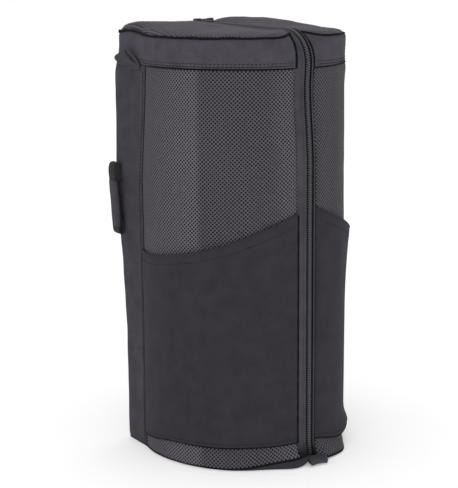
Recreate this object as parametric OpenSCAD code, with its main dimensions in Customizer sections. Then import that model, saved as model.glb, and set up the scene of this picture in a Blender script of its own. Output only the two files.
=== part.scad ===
// Padded carry case for a telescope tube: two half shells that open like a book on a spine at the back.
// A coil zip runs over the top, down the round front and back under the base.
// Front is -Y, the flat back is +Y, up is +Z. The case stands on z = 0.

/* [Shell] */
// radius of the round front
case_radius = 112; // [105:1:120]
// height of the case
case_height = 462; // [410:2:500]
// distance from the middle of the round front to the flat back
back_depth = 82; // [76:1:90]
// half the width of the flat back
back_half_width = 100; // [95:1:104]
// angle from the front at which the wall meets the plain side strip
seam_angle = 110; // [106:1:112]
// radius of the vertical back corners
corner_radius = 6; // [4:0.5:9]
// thickness of the outer fabric
skin = 1.5; // [1:0.1:1.8]
// thickness of fabric and foam together
wall = 12; // [10:0.5:14]
// thickness of the lining
lining_thickness = 1; // [0.6:0.1:1.2]
// height of the plain band round the top
band_height = 38; // [30:1:44]
// height of the base fabric where it turns up the wall
base_turn_up = 6; // [4:0.5:10]
// gap between the two halves
half_gap = 0.5; // [0.5:0.1:0.8]

/* [Zip] */
// distance from the middle of the zip to the outer edge of each tape
tape_edge = 12; // [11:0.5:13]
// width of the coil on each half
coil_width = 3.8; // [3.4:0.1:4.2]
// thickness of the coil
coil_thickness = 2.6; // [2.4:0.1:2.8]
// thickness of the tape
tape_thickness = 1.4; // [1.2:0.1:1.6]
// radius of the zip where it turns over the top edge
top_bend = 35; // [28:1:36]
// radius of the zip where it turns under the base
base_bend = 10; // [9:0.5:11]
// height of the zip above the ground under the base
base_recess = 5; // [4.5:0.1:5.5]

/* [Pockets] */
// height of the bottom seam of the outer pockets
pocket_bottom = 26; // [20:1:30]
// height of the pocket opening, carried on to the middle of the front
pocket_top = 285; // [270:1:300]
// angle at which the pocket opening slopes down to each side
pocket_slope = 26.8; // [20:0.2:30]
// height of the hem at the pocket opening
hem_height = 12; // [8:1:16]
// distance the pockets stand out from the wall
pocket_depth = 3; // [2.6:0.2:4]

/* [Webbing] */
// width of the webbing
webbing_width = 24; // [22:1:25]
// thickness of the webbing
webbing = 1.6; // [1.4:0.1:2]
// radius of the opening in each strap loop
loop_radius = 5; // [4:0.5:6]
// height of the middle of each strap loop
loop_height = 430; // [420:1:436]
// height of the middle of the grab handle
handle_height = 275; // [260:1:290]
// length of the grab handle
handle_length = 76; // [70:1:84]
// distance the grab handle stands off the side strip
handle_stand_off = 13; // [12:1:16]

/* [Retaining strap] */
// height of the middle of the strap inside
strap_height = 228; // [200:2:260]
// width of the strap
strap_width = 50; // [40:1:60]
// length of the rear half of the strap
rear_flap_length = 80; // [70:1:84]
// angle of wall covered by the front half of the strap
front_flap_angle = 56; // [50:1:58]

/* [Hidden] */
$fn = 128;
big = 600;
cut = 0.01;
seam_point = [case_radius * sin(seam_angle), -case_radius * cos(seam_angle)];
side_run = [back_half_width - seam_point[0], back_depth - seam_point[1]];
side_length = norm(side_run);
side_dir = side_run / side_length;
side_normal = [side_dir[1], -side_dir[0]];
side_tilt = atan2(-side_dir[0], side_dir[1]);
tail_start = 10;
corner_steps = 6;
inner_wall = wall + lining_thickness;
zip_front = -case_radius;
tape_inner = half_gap + coil_width;
coil_low = -1.5;
coil_high = coil_low + coil_thickness;
tape_low = -0.9;
tape_high = tape_low + tape_thickness;
zip_back = back_depth - wall;
stop_length = 4;
zip_foam_cover = 4;
slider_length = 16;
slider_half_width = 6.5;
slider_plate = 1.2;
slider_clearance = 0.3;
slider_web = 0.3;
slider_rear = 62;
slider_pin_rise = 4.8;
slider_pin_radius = 1;
eye_clearance = 0.05;
eye_radius = 1.9;
eye_half_width = 2.2;
cheek_inner = 2.4;
cheek_outer = 3.6;
pull_length = 26;
pull_width = 11;
pull_frame_start = 4;
pull_frame_length = 4;
pull_arm_length = 6;
pull_webbing_start = pull_frame_start + pull_frame_length;
pull_thickness = 2.4;
strap_thickness = 1.5;
strap_clearance = 1;
strap_hinge_x = 3;
hook_thickness = 0.8;
loop_along = 14;
handle_along = 29;

// ---- plan of the case, drawn in by an inset ----

function side_at(inset, y) =
  let (run = (y - seam_point[1] + side_normal[1] * inset) / side_dir[1])
  [seam_point[0] + side_dir[0] * run - side_normal[0] * inset, y];

function corner_points(inset) =
  inset >= corner_radius
    ? [side_at(inset, back_depth - inset)]
    : [for (i = [0:corner_steps])
        let (turn = side_tilt + (90 - side_tilt) * i / corner_steps)
        side_at(corner_radius, back_depth - corner_radius)
          + (corner_radius - inset) * [cos(turn), sin(turn)]];

module tail(inset) {
  polygon(concat(
    [[-cut, tail_start], side_at(inset, tail_start)],
    corner_points(inset),
    [[-cut, back_depth - inset]]
  ));
}

module outline(inset) {
  intersection() {
    circle(r = case_radius - inset);
    window(-big, big, -big, back_depth - inset);
  }
  tail(inset);
  mirror([1, 0]) tail(inset);
}

module window(x_from, x_to, y_from, y_to) {
  translate([x_from, y_from]) square([x_to - x_from, y_to - y_from]);
}

// everything on the right-hand side from an x position outwards
module right_of(x_from) {
  window(x_from, big, -big, big);
}

module ring(outer, inner) {
  difference() {
    outline(outer);
    outline(inner);
  }
}

module raise(z_from, z_to) {
  translate([0, 0, z_from]) linear_extrude(z_to - z_from) children();
}

module left_side() {
  mirror([1, 0, 0]) children();
}

corner_x = side_at(corner_radius, back_depth - corner_radius)[0];
foam_back_y = back_depth - wall;

// ---- outer fabric of one half, drawn for the right-hand half ----

module wall_mesh() {
  raise(base_turn_up, case_height - band_height) intersection() {
    ring(0, skin);
    window(tape_edge, big, -big, seam_point[1]);
  }
}

module side_strip() {
  raise(base_turn_up, case_height - band_height) intersection() {
    ring(0, skin);
    window(corner_x, big, seam_point[1], big);
  }
}

module top_band() {
  raise(case_height - band_height, case_height) intersection() {
    ring(0, skin);
    difference() {
      right_of(tape_edge);
      window(-cut, corner_x, 0, big);
    }
  }
}

module back_panel() {
  raise(base_turn_up, case_height) intersection() {
    ring(0, skin);
    window(half_gap, corner_x, 0, big);
  }
}

// plan shape of a top or base layer: cut back for the zip, whole at the spine
module layer_plan(inset) {
  intersection() {
    outline(inset);
    union() {
      right_of(tape_edge);
      window(half_gap, big, foam_back_y, big);
    }
  }
}

module top_panel() {
  raise(case_height - skin, case_height) layer_plan(skin);
}

module base_panel() {
  raise(0, skin) layer_plan(0);
  raise(skin, base_turn_up) intersection() {
    ring(0, skin);
    layer_plan(0);
  }
}

// ---- outer pocket ----

// everything under the sloping pocket opening, lowered by a drop
module under_slope(drop) {
  translate([0, 0, pocket_top - drop]) rotate([0, pocket_slope, 0])
    translate([-big, -big, -2 * big]) cube([2 * big, 2 * big, 2 * big]);
}

module pocket_zone(z_from, outer, inner) {
  raise(z_from, pocket_top) intersection() {
    ring(outer, inner);
    window(tape_edge, big, -big, seam_point[1]);
  }
}

module pocket() {
  intersection() {
    union() {
      pocket_zone(pocket_bottom, -pocket_depth, -pocket_depth + skin);
      raise(pocket_bottom - skin, pocket_bottom) intersection() {
        ring(-pocket_depth, 0);
        window(tape_edge, big, -big, seam_point[1]);
      }
      raise(pocket_bottom, pocket_top) intersection() {
        ring(-pocket_depth + skin, 0);
        window(tape_edge, tape_edge + skin, -big, 0);
      }
      raise(pocket_bottom, pocket_top) intersection() {
        ring(-pocket_depth + skin, 0);
        window(0, big, seam_point[1] - skin, seam_point[1]);
      }
    }
    under_slope(hem_height);
  }
}

module pocket_hem() {
  difference() {
    intersection() {
      pocket_zone(pocket_bottom, -pocket_depth - lining_thickness, -pocket_depth + skin);
      under_slope(0);
    }
    under_slope(hem_height);
  }
}

// ---- zip ----

// side view of the zip path as a strip between two heights above its surface; x here is the row's Y
module path_strip(low, high, back_end) {
  top_centre = [zip_front + top_bend, case_height - top_bend];
  base_centre = [zip_front + base_bend, base_recess + base_bend];
  translate([top_centre[0], case_height + low]) square([back_end - top_centre[0], high - low]);
  translate([zip_front - high, base_centre[1]])
    square([high - low, top_centre[1] - base_centre[1]]);
  translate([base_centre[0], base_recess - high]) square([back_end - base_centre[0], high - low]);
  bend(top_centre, top_bend, low, high, 0);
  bend(base_centre, base_bend, low, high, -1);
}

// a quarter ring that joins the front run to the top run, or (turned down) to the base run
module bend(centre, radius, low, high, down) {
  intersection() {
    translate(centre) difference() {
      circle(r = radius + high);
      circle(r = radius + low);
    }
    translate([centre[0] - big, centre[1] + down * big]) square([big, big]);
  }
}

// stand a side view up across the case between two x positions
module across(x_from, x_to) {
  translate([x_from, 0, 0]) rotate([90, 0, 90]) linear_extrude(x_to - x_from) children();
}

module zip_tape() {
  across(tape_inner, tape_edge) path_strip(tape_low, tape_high, zip_back);
}

module zip_coil() {
  across(half_gap, tape_inner) path_strip(coil_low, coil_high, zip_back - stop_length);
}

module zip_stops() {
  for (z = [case_height + coil_low, base_recess - coil_high])
    translate([half_gap, zip_back - stop_length, z])
      cube([coil_width, stop_length, coil_thickness]);
}

// the slider's own frame: x across the zip, y along it towards the back, z out from its surface
module at_slider() {
  translate([0, slider_rear - slider_length, case_height]) children();
}

module zip_slider() {
  plate_gap_low = coil_low - slider_clearance;
  plate_gap_high = coil_high + slider_clearance;
  at_slider() {
    translate([-slider_half_width, 0, plate_gap_high])
      cube([2 * slider_half_width, slider_length, slider_plate]);
    translate([-slider_half_width, 0, plate_gap_low - slider_plate])
      cube([2 * slider_half_width, slider_length, slider_plate]);
    translate([-slider_web, 0, plate_gap_low - slider_plate / 2])
      cube([2 * slider_web, slider_length / 2, plate_gap_high - plate_gap_low + slider_plate]);
    for (side = [-1, 1])
      translate([side * (cheek_inner + cheek_outer) / 2, slider_length / 2, plate_gap_high])
        slider_cheek(slider_pin_rise - plate_gap_high);
    translate([-cheek_outer, slider_length / 2, slider_pin_rise]) rotate([0, 90, 0])
      cylinder(h = 2 * cheek_outer, r = slider_pin_radius);
  }
}

// one of the two posts that carry the pull's pin
module slider_cheek(rise) {
  thickness = cheek_outer - cheek_inner;
  translate([-thickness / 2, -eye_radius, 0]) cube([thickness, 2 * eye_radius, rise]);
  translate([-thickness / 2, 0, rise]) rotate([0, 90, 0]) cylinder(h = thickness, r = eye_radius);
}

module zip_pull_eye() {
  at_slider() translate([0, slider_length / 2, slider_pin_rise]) difference() {
    union() {
      translate([-eye_half_width, 0, 0]) rotate([0, 90, 0])
        cylinder(h = 2 * eye_half_width, r = eye_radius);
      translate([-eye_half_width, 0, -slider_plate / 2])
        cube([2 * eye_half_width, eye_radius + pull_arm_length, slider_plate]);
      translate([-pull_width / 2, eye_radius + pull_frame_start, -slider_plate / 2])
        cube([pull_width, pull_frame_length, slider_plate]);
    }
    translate([-big, 0, 0]) rotate([0, 90, 0])
      cylinder(h = 2 * big, r = slider_pin_radius + eye_clearance);
  }
}

module zip_pull_webbing() {
  start = eye_radius + pull_webbing_start;
  at_slider()
    translate([-pull_width / 2, slider_length / 2 + start, slider_pin_rise - pull_thickness / 2])
      cube([pull_width, pull_length - start, pull_thickness]);
}

// folded webbing tab sewn into the left base seam where the zip turns under
module zip_end_tab() {
  tab_reach = 15;
  tab_rise = 6;
  tab_foot = 3;
  tab_foot_length = 10;
  tab_gap = 1;
  tab_radius = 2.6;
  tab_inner = tab_radius - webbing;
  tab_root = zip_front - coil_high - tab_gap;
  translate([-webbing_width / 2, 0, 0]) {
    across(0, webbing_width) difference() {
      union() {
        translate([tab_root - tab_reach + tab_radius, tab_rise - tab_radius])
          square([tab_reach - tab_radius, 2 * tab_radius]);
        translate([tab_root - tab_reach + tab_radius, tab_rise]) circle(r = tab_radius);
      }
      translate([tab_root - tab_reach + tab_radius, tab_rise - tab_inner])
        square([tab_reach - 2 * tab_radius, 2 * tab_inner]);
      translate([tab_root - tab_reach + tab_radius, tab_rise]) circle(r = tab_inner);
    }
    difference() {
      translate([-tab_foot, tab_root - 2 * tab_radius, tab_rise - tab_radius])
        cube([tab_foot, tab_foot_length, 2 * tab_radius]);
      translate([webbing_width / 2, 0, 0]) raise(0, wall) outline(0);
    }
  }
}

// ---- padding and lining of one half ----

module foam_wall() {
  raise(wall, case_height - wall) intersection() {
    ring(skin, wall);
    window(tape_edge, big, -big, foam_back_y);
  }
  raise(base_recess + base_bend, case_height - top_bend) intersection() {
    ring(zip_foam_cover, wall);
    window(half_gap, tape_edge + cut, -big, 0);
  }
}

module foam_back() {
  raise(wall, case_height - wall) intersection() {
    ring(skin, wall);
    window(half_gap, big, foam_back_y, big);
  }
}

module foam_layer(z_from, z_to, cover_from, cover_to, cover_front) {
  raise(z_from, z_to) layer_plan(skin);
  raise(cover_from, cover_to) window(half_gap, tape_edge + cut, cover_front, foam_back_y + cut);
}

module foam_top() {
  foam_layer(
    case_height - wall, case_height - skin,
    case_height - wall, case_height - zip_foam_cover, zip_front + top_bend
  );
}

module foam_base() {
  bend_gap = 2;
  foam_layer(skin, wall, base_recess + zip_foam_cover, wall, zip_front + base_bend + bend_gap);
}

module lining() {
  difference() {
    raise(wall, case_height - wall) intersection() {
      outline(wall);
      right_of(half_gap);
    }
    raise(inner_wall, case_height - inner_wall) outline(inner_wall);
  }
}

// binding round the free edge of the lining: front, top and base, but not the spine
module inner_binding() {
  binding = 8;
  short_of_back = 4;
  raise(inner_wall, case_height - inner_wall) intersection() {
    ring(inner_wall, inner_wall + lining_thickness);
    window(half_gap, half_gap + binding, -big, 0);
  }
  for (z = [inner_wall, case_height - inner_wall - lining_thickness])
    translate([half_gap, -case_radius + inner_wall + lining_thickness, z])
      cube([binding, case_radius + foam_back_y - inner_wall - short_of_back, lining_thickness]);
}

// ---- webbing on the side strips ----

// a frame on the right side strip: x out from it, y along it towards the back, z up
module on_side(along, z) {
  translate([seam_point[0] + side_dir[0] * along, seam_point[1] + side_dir[1] * along, z])
    rotate([0, 0, side_tilt]) children();
}

module strap_loop() {
  tail_length = 16;
  outer_radius = loop_radius + webbing;
  on_side(loop_along, loop_height) translate([0, webbing_width / 2, 0]) difference() {
    union() {
      translate([outer_radius, 0, 0]) rotate([90, 0, 0]) cylinder(h = webbing_width, r = outer_radius);
      translate([0, -webbing_width, -tail_length]) cube([webbing, webbing_width, tail_length]);
      translate([0, -webbing_width, -outer_radius]) cube([outer_radius, webbing_width, webbing]);
    }
    translate([outer_radius, cut, 0]) rotate([90, 0, 0])
      cylinder(h = webbing_width + 2 * cut, r = loop_radius);
  }
}

module rounded_bar(depth, height, radius) {
  translate([0, -height / 2 + radius]) square([depth, height - 2 * radius]);
  translate([radius, -height / 2]) square([depth - 2 * radius, height]);
  for (x = [radius, depth - radius])
    for (z = [-height / 2 + radius, height / 2 - radius])
      translate([x, z]) circle(r = radius);
}

handle_width = webbing_width - 2;

module grab_handle_webbing() {
  foot = 14;
  bend_radius = 6;
  on_side(handle_along, handle_height) translate([0, handle_width / 2, 0]) rotate([90, 0, 0])
    linear_extrude(handle_width) difference() {
      rounded_bar(handle_stand_off, handle_length, bend_radius);
      translate([webbing, 0])
        rounded_bar(handle_stand_off - 2 * webbing, handle_length - 2 * webbing, bend_radius - webbing);
      translate([-webbing, -handle_length / 2 + foot])
        square([3 * webbing, handle_length - 2 * foot]);
    }
}

module grab_handle_grip() {
  grip_end = 9;
  grip_wrap = 2.4;
  grip_corner = 2;
  grip_length = handle_length - 2 * grip_end;
  on_side(handle_along, handle_height) difference() {
    translate([handle_stand_off - webbing - grip_wrap, 0, -grip_length / 2])
      linear_extrude(grip_length)
        rounded_bar(webbing + 2 * grip_wrap, handle_width + 2 * grip_corner, grip_corner);
    translate([handle_stand_off - webbing, -handle_width / 2, -big])
      cube([webbing, handle_width, 2 * big]);
  }
}

// ---- inside: retaining strap on the left half, pocket on the right half ----

strap_radius = case_radius - inner_wall - lining_thickness - strap_clearance;
front_flap_start = 2;
pad_margin = 3;
pad_end = 2;
hook_angle = 22;
loop_length = 43;
pad_height = strap_width - 2 * pad_margin;

module strap_band(z_centre, height) {
  raise(z_centre - height / 2, z_centre + height / 2) children();
}

// a piece of ring starting beside the middle of the front, drawn for the right-hand half
module front_arc(radius, thickness, from_angle, to_angle) {
  intersection() {
    difference() {
      circle(r = radius);
      circle(r = radius - thickness);
    }
    polygon([
      [0, 0],
      [big * sin(from_angle), -big * cos(from_angle)],
      [big * sin(to_angle), -big * cos(to_angle)]
    ]);
  }
}

module strap_front_flap() {
  strap_band(strap_height, strap_width)
    front_arc(strap_radius, strap_thickness, front_flap_start, front_flap_angle);
}

module strap_front_hook() {
  end = front_flap_angle - pad_end;
  strap_band(strap_height, pad_height)
    front_arc(strap_radius - strap_thickness, hook_thickness, end - hook_angle, end);
}

strap_rear_y = foam_back_y - lining_thickness - strap_clearance - strap_thickness;

module strap_rear_flap() {
  strap_band(strap_height, strap_width)
    window(strap_hinge_x, strap_hinge_x + rear_flap_length, strap_rear_y, strap_rear_y + strap_thickness);
}

module strap_rear_loop() {
  end = strap_hinge_x + rear_flap_length - pad_end;
  strap_band(strap_height, pad_height)
    window(end - loop_length, end, strap_rear_y - hook_thickness, strap_rear_y);
}

inner_pocket_depth = 3;
inner_pocket_low = 60;
inner_pocket_high = 230;
inner_hem_height = 14;
inner_hem_thickness = 1.6;
inner_pocket_start = 18;
inner_pocket_end = 98;
inner_pocket_floor = 1.5;
inner_pocket_seam = 1;

module inner_pocket_zone(z_from, z_to, outer, inner) {
  raise(z_from, z_to)
    front_arc(case_radius - outer, inner - outer, inner_pocket_start, inner_pocket_end);
}

module inner_mesh_pocket() {
  face = inner_wall + inner_pocket_depth;
  inner_pocket_zone(inner_pocket_low, inner_pocket_high, face - lining_thickness, face);
  inner_pocket_zone(inner_pocket_low - inner_pocket_floor, inner_pocket_low, inner_wall, face);
  for (start = [inner_pocket_start, inner_pocket_end - inner_pocket_seam])
    raise(inner_pocket_low, inner_pocket_high) front_arc(
      case_radius - inner_wall, inner_pocket_depth - lining_thickness, start, start + inner_pocket_seam
    );
}

module inner_pocket_hem() {
  face = inner_wall + inner_pocket_depth;
  inner_pocket_zone(
    inner_pocket_high, inner_pocket_high + inner_hem_height, face - inner_hem_thickness, face
  );
}

// ---- the case ----

color("dimgray") left_side() wall_mesh();  // left_wall_mesh
color("darkslategray") left_side() top_band();  // left_top_band
color("darkslategray") left_side() side_strip();  // left_side_strip
color("darkslategray") left_side() back_panel();  // left_back_panel
color("dimgray") left_side() top_panel();  // left_top_panel
color("darkslategray") left_side() base_panel();  // left_base_panel
color("slategray") left_side() pocket();  // left_pocket
color("black") left_side() pocket_hem();  // left_pocket_hem
color("gray") left_side() zip_tape();  // left_zip_tape
color("black") left_side() zip_coil();  // left_zip_coil
color("silver") left_side() zip_stops();  // left_zip_stops
color("beige") left_side() foam_wall();  // left_foam_wall
color("beige") left_side() foam_back();  // left_foam_back
color("beige") left_side() foam_top();  // left_foam_top
color("beige") left_side() foam_base();  // left_foam_base
color("lightgray") left_side() lining();  // left_lining
color("black") left_side() inner_binding();  // left_inner_binding
color("black") left_side() strap_loop();  // left_strap_loop
color("dimgray") wall_mesh();  // right_wall_mesh
color("darkslategray") top_band();  // right_top_band
color("darkslategray") side_strip();  // right_side_strip
color("darkslategray") back_panel();  // right_back_panel
color("dimgray") top_panel();  // right_top_panel
color("darkslategray") base_panel();  // right_base_panel
color("slategray") pocket();  // right_pocket
color("black") pocket_hem();  // right_pocket_hem
color("gray") zip_tape();  // right_zip_tape
color("black") zip_coil();  // right_zip_coil
color("silver") zip_stops();  // right_zip_stops
color("beige") foam_wall();  // right_foam_wall
color("beige") foam_back();  // right_foam_back
color("beige") foam_top();  // right_foam_top
color("beige") foam_base();  // right_foam_base
color("lightgray") lining();  // right_lining
color("black") inner_binding();  // right_inner_binding
color("black") strap_loop();  // right_strap_loop
color("black") left_side() grab_handle_webbing();
color("darkslategray") left_side() grab_handle_grip();
color("darkslategray") zip_end_tab();
color("silver") zip_slider();
color("silver") zip_pull_eye();
color("black") zip_pull_webbing();
color("black") left_side() strap_front_flap();
color("gray") left_side() strap_front_hook();
color("black") left_side() strap_rear_flap();
color("gray") left_side() strap_rear_loop();
color("gray") inner_mesh_pocket();
color("black") inner_pocket_hem();
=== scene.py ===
import math

import bmesh
import bpy
import numpy as np
from mathutils import Matrix, Vector


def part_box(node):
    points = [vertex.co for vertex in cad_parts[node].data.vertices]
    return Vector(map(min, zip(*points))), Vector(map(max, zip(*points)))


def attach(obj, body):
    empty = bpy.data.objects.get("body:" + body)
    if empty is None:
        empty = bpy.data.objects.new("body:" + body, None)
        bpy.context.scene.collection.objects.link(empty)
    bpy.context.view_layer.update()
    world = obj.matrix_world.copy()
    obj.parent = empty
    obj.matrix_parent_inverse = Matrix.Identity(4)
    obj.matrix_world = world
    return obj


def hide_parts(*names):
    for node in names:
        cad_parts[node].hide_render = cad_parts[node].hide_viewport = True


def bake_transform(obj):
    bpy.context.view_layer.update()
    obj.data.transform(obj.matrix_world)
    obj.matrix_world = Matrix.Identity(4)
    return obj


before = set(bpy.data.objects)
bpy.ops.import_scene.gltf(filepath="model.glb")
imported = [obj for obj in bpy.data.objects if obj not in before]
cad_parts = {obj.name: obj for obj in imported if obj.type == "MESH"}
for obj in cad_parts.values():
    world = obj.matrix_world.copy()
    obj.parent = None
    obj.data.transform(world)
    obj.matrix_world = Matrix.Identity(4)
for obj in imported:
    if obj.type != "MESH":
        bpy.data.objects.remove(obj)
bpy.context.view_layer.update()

# Every length below is in millimetres, and becomes metres when a mesh is made.
# Front is -Y, the flat back is +Y, up is +Z. Panels are drawn for the right-hand half and mirrored.


def box_mm(node):
    low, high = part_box(node)
    return np.array(low) * 1000, np.array(high) * 1000


# ---------------------------------------------------------------- sizes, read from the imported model

RADIUS = box_mm("right_wall_mesh")[1][0]
HEIGHT = box_mm("right_back_panel")[1][2]
BACK = box_mm("right_back_panel")[1][1]
BAND_LOW = box_mm("right_top_band")[0][2]
POCKET_LOW = box_mm("right_pocket")[0][2]
TAPE_INNER = box_mm("right_zip_tape")[0][0]
ZIP_BACK = box_mm("right_zip_tape")[1][1]
ZIP_TOP = HEIGHT
# where the round wall meets the side strip: its depth, and its angle round from the front
SEAM_Y = box_mm("right_wall_mesh")[1][1]
SEAM_ANGLE = math.pi / 2 + math.asin(SEAM_Y / RADIUS)

# ---------------------------------------------------------------- sizes that the boxes don't give

# the round of the back's upright edges, and where the back would end without it
BACK_CORNER = 6
BACK_HALF_WIDTH = 100
# the whole wall, and the cloths on its outside
WALL = 12
CLOTH = 1.8
THIN_CLOTH = 1.6
# the rim's height away from the zip, and the rounding of the rim and of the base there
RIM = 456
RIM_RADIUS = 4
BASE_RADIUS = 2.5
# the zip's two bends, its height under the base, and its tape's outer edge
TOP_BEND = 36
BASE_BEND = 10
BASE_RECESS = 5
TAPE_EDGE = 12
# the pocket's mouth at the zip and how steeply it falls, its hem, and the height its cloth is drawn at
POCKET_TOP = 285
POCKET_SLOPE = math.tan(math.radians(26.8))
HEM = 12
POCKET_SHEET = 220.0
# the seam round the foot, and the sewing thread
BASE_SEAM = 1.5
STITCH = 2.8
STITCH_GAP = 1.5
# the axis of the fold at the back, and how far the panels stop short of it
SPINE_Y = 85
FOLD_GAP = 7
# how deep the padding lies under the outside, and the net pocket's reach in degrees and its radius
FOAM_GAP = 2.2
NET_FROM, NET_TO = 18, 98
NET_RADIUS = RADIUS - 13.2


def smooth_step(t):
    t = np.clip(t, 0, 1)
    return t * t * (3 - 2 * t)


def ripple(a, b, seed):
    """Smooth unevenness between about -1 and 1, as hand-sewn cloth has. a and b are in millimetres."""
    total = np.zeros(np.broadcast(a, b).shape)
    for i in range(5):
        turn = 2.4 * i + seed
        length = 95 / (1 + 0.7 * i)
        phase = 1.7 * i + 3.1 * seed
        along = a * math.cos(turn) + b * math.sin(turn)
        total = total + np.sin(along / length * 2 * math.pi + phase) / (1.4 + i)
    return total / 1.9


def points_at(*parts):
    """Points, or pairs, from separate coordinates that may be single numbers."""
    return np.stack(np.broadcast_arrays(*parts), -1)


def unit(vectors):
    return vectors / np.linalg.norm(vectors, axis=-1, keepdims=True)


# ---------------------------------------------------------------- plan of the case


class Outline:
    """Plan of the right-hand half, drawn in by an inset, as a path from the middle of the front
    round the side to the middle of the back."""

    def __init__(self, inset, corner):
        self.radius = RADIUS - inset
        seam = np.array([RADIUS * math.sin(SEAM_ANGLE), -RADIUS * math.cos(SEAM_ANGLE)])
        run = np.array([BACK_HALF_WIDTH, BACK]) - seam
        self.side = unit(run)
        self.out = np.array([self.side[1], -self.side[0]])
        self.tilt = math.atan2(-self.side[0], self.side[1])
        self.back = BACK - inset
        start = seam - self.out * inset
        half_b = start @ self.side
        reach = -half_b + math.sqrt(half_b * half_b - start @ start + self.radius ** 2)
        reach_back = -half_b - math.sqrt(half_b * half_b - start @ start + self.radius ** 2)
        near = reach if abs(reach) < abs(reach_back) else reach_back
        self.seam = start + self.side * near
        self.angle = math.atan2(self.seam[0], -self.seam[1])
        self.corner = corner
        rise = self.back - corner
        t = (rise - self.seam[1] + self.out[1] * corner) / self.side[1]
        self.centre = self.seam + self.side * t - self.out * corner
        self.arc = self.radius * self.angle
        self.straight = t
        self.turn = corner * (math.pi / 2 - self.tilt)
        self.length = self.arc + self.straight + self.turn + self.centre[0]

    def at(self, u):
        """x, y and outward normal at distance u along the path."""
        u = np.asarray(u, float)
        a = np.clip(u, -50, self.arc) / self.radius
        b = u - self.arc
        c = b - self.straight
        d = c - self.turn
        phi = self.tilt + np.clip(c, 0, self.turn) / self.corner
        parts = [
            (self.radius * np.sin(a), -self.radius * np.cos(a), np.sin(a), -np.cos(a)),
            (self.seam[0] + self.side[0] * b, self.seam[1] + self.side[1] * b,
             np.full(u.shape, self.out[0]), np.full(u.shape, self.out[1])),
            (self.centre[0] + self.corner * np.cos(phi), self.centre[1] + self.corner * np.sin(phi),
             np.cos(phi), np.sin(phi)),
            (self.centre[0] - d, np.full(u.shape, self.back), np.zeros(u.shape), np.ones(u.shape)),
        ]
        which = np.where(b <= 0, 0, np.where(c <= 0, 1, np.where(d <= 0, 2, 3)))
        return tuple(np.choose(which, [p[i] for p in parts]) for i in range(4))

    def at_x(self, x):
        """Distance along the front of the path at which it is x from the middle."""
        return self.radius * math.asin(x / self.radius)

    @property
    def back_start(self):
        return self.arc + self.straight + self.turn


OUTER = Outline(0, BACK_CORNER)
INNER = Outline(WALL, 9)


def near_zip(u, reach):
    return np.exp(-(u / reach) ** 2)


def rim_height(u):
    """Height of the case at its rim: it rises to meet the zip."""
    return RIM + (ZIP_TOP - RIM) * near_zip(u, 30)


def top_radius(u):
    return RIM_RADIUS + (TOP_BEND - RIM_RADIUS) * near_zip(u, 30)


def seam_turn(u):
    """How far round the top edge the band reaches: half-way, or nearly on to the top beside the zip."""
    return np.radians(45 + 24 * near_zip(u, 30))


def base_radius(u):
    return BASE_RADIUS + (BASE_BEND - BASE_RADIUS) * near_zip(u, 26)


def wall_point(u, z, off):
    """Outer wall at path distance u and height z, pushed out by off. Its top and base edges are rounded.
    z runs to HEIGHT at the rim, whatever the rim's real height."""
    wide = 15 * smooth_step((z - 290) / 130)
    x, y, nx, ny = OUTER.at(u - wide * np.exp(-((u - OUTER.arc) / 50) ** 2))
    top = top_radius(u)
    base = base_radius(u)
    rim = rim_height(u)
    z = np.where(z > BAND_LOW, BAND_LOW + (z - BAND_LOW) * (rim - BAND_LOW) / (HEIGHT - BAND_LOW), z)
    up = seam_turn(u) * np.clip(1 - (rim - z) / top, 0, 1)
    down = np.radians(45) * np.clip(1 - z / base, 0, 1)
    inward = top * (1 - np.cos(up)) + base * (1 - np.cos(down))
    height = np.where(up > 0, rim - top + top * np.sin(up), z)
    height = np.where(down > 0, base - base * np.sin(down), height)
    tilt = up - down
    out = np.cos(tilt) * off - inward
    return np.stack([x + nx * out, y + ny * out, height + np.sin(tilt) * off], -1)


def rim_distance(x, y):
    """Distance in from the outline, outward direction and path distance for points on the top or base."""
    radius = np.hypot(x, y)
    angle = np.arctan2(x, -y)
    arc = RADIUS - radius
    side = (OUTER.seam[0] - x) * OUTER.out[0] + (OUTER.seam[1] - y) * OUTER.out[1]
    back = BACK - y
    on_side = smooth_step((angle - OUTER.angle + 0.14) / 0.28)
    inside = arc + (side - arc) * on_side
    safe = np.maximum(radius, 1e-6)
    nx = x / safe + (OUTER.out[0] - x / safe) * on_side
    ny = y / safe + (OUTER.out[1] - y / safe) * on_side
    at_back = back < inside
    inside = np.where(at_back, back, inside)
    nx = np.where(at_back, 0, nx)
    ny = np.where(at_back, 1, ny)
    u = np.where(at_back, 400, RADIUS * angle)
    return np.maximum(inside, 0), nx, ny, u


def cap_point(x, y, off, radius, first_turn):
    """A flat end with its edge rounded down to the rim: the point and its drop from the flat."""
    inside, nx, ny, _ = rim_distance(x, y)
    turn = first_turn + (math.pi / 2 - first_turn) * np.clip(inside / radius, 0, 1)
    inward = np.where(inside < radius, radius * (1 - np.cos(turn)), inside)
    out = inside - inward + np.cos(turn) * off
    return x + nx * out, y + ny * out, radius * (np.sin(turn) - 1) + np.sin(turn) * off


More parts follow.
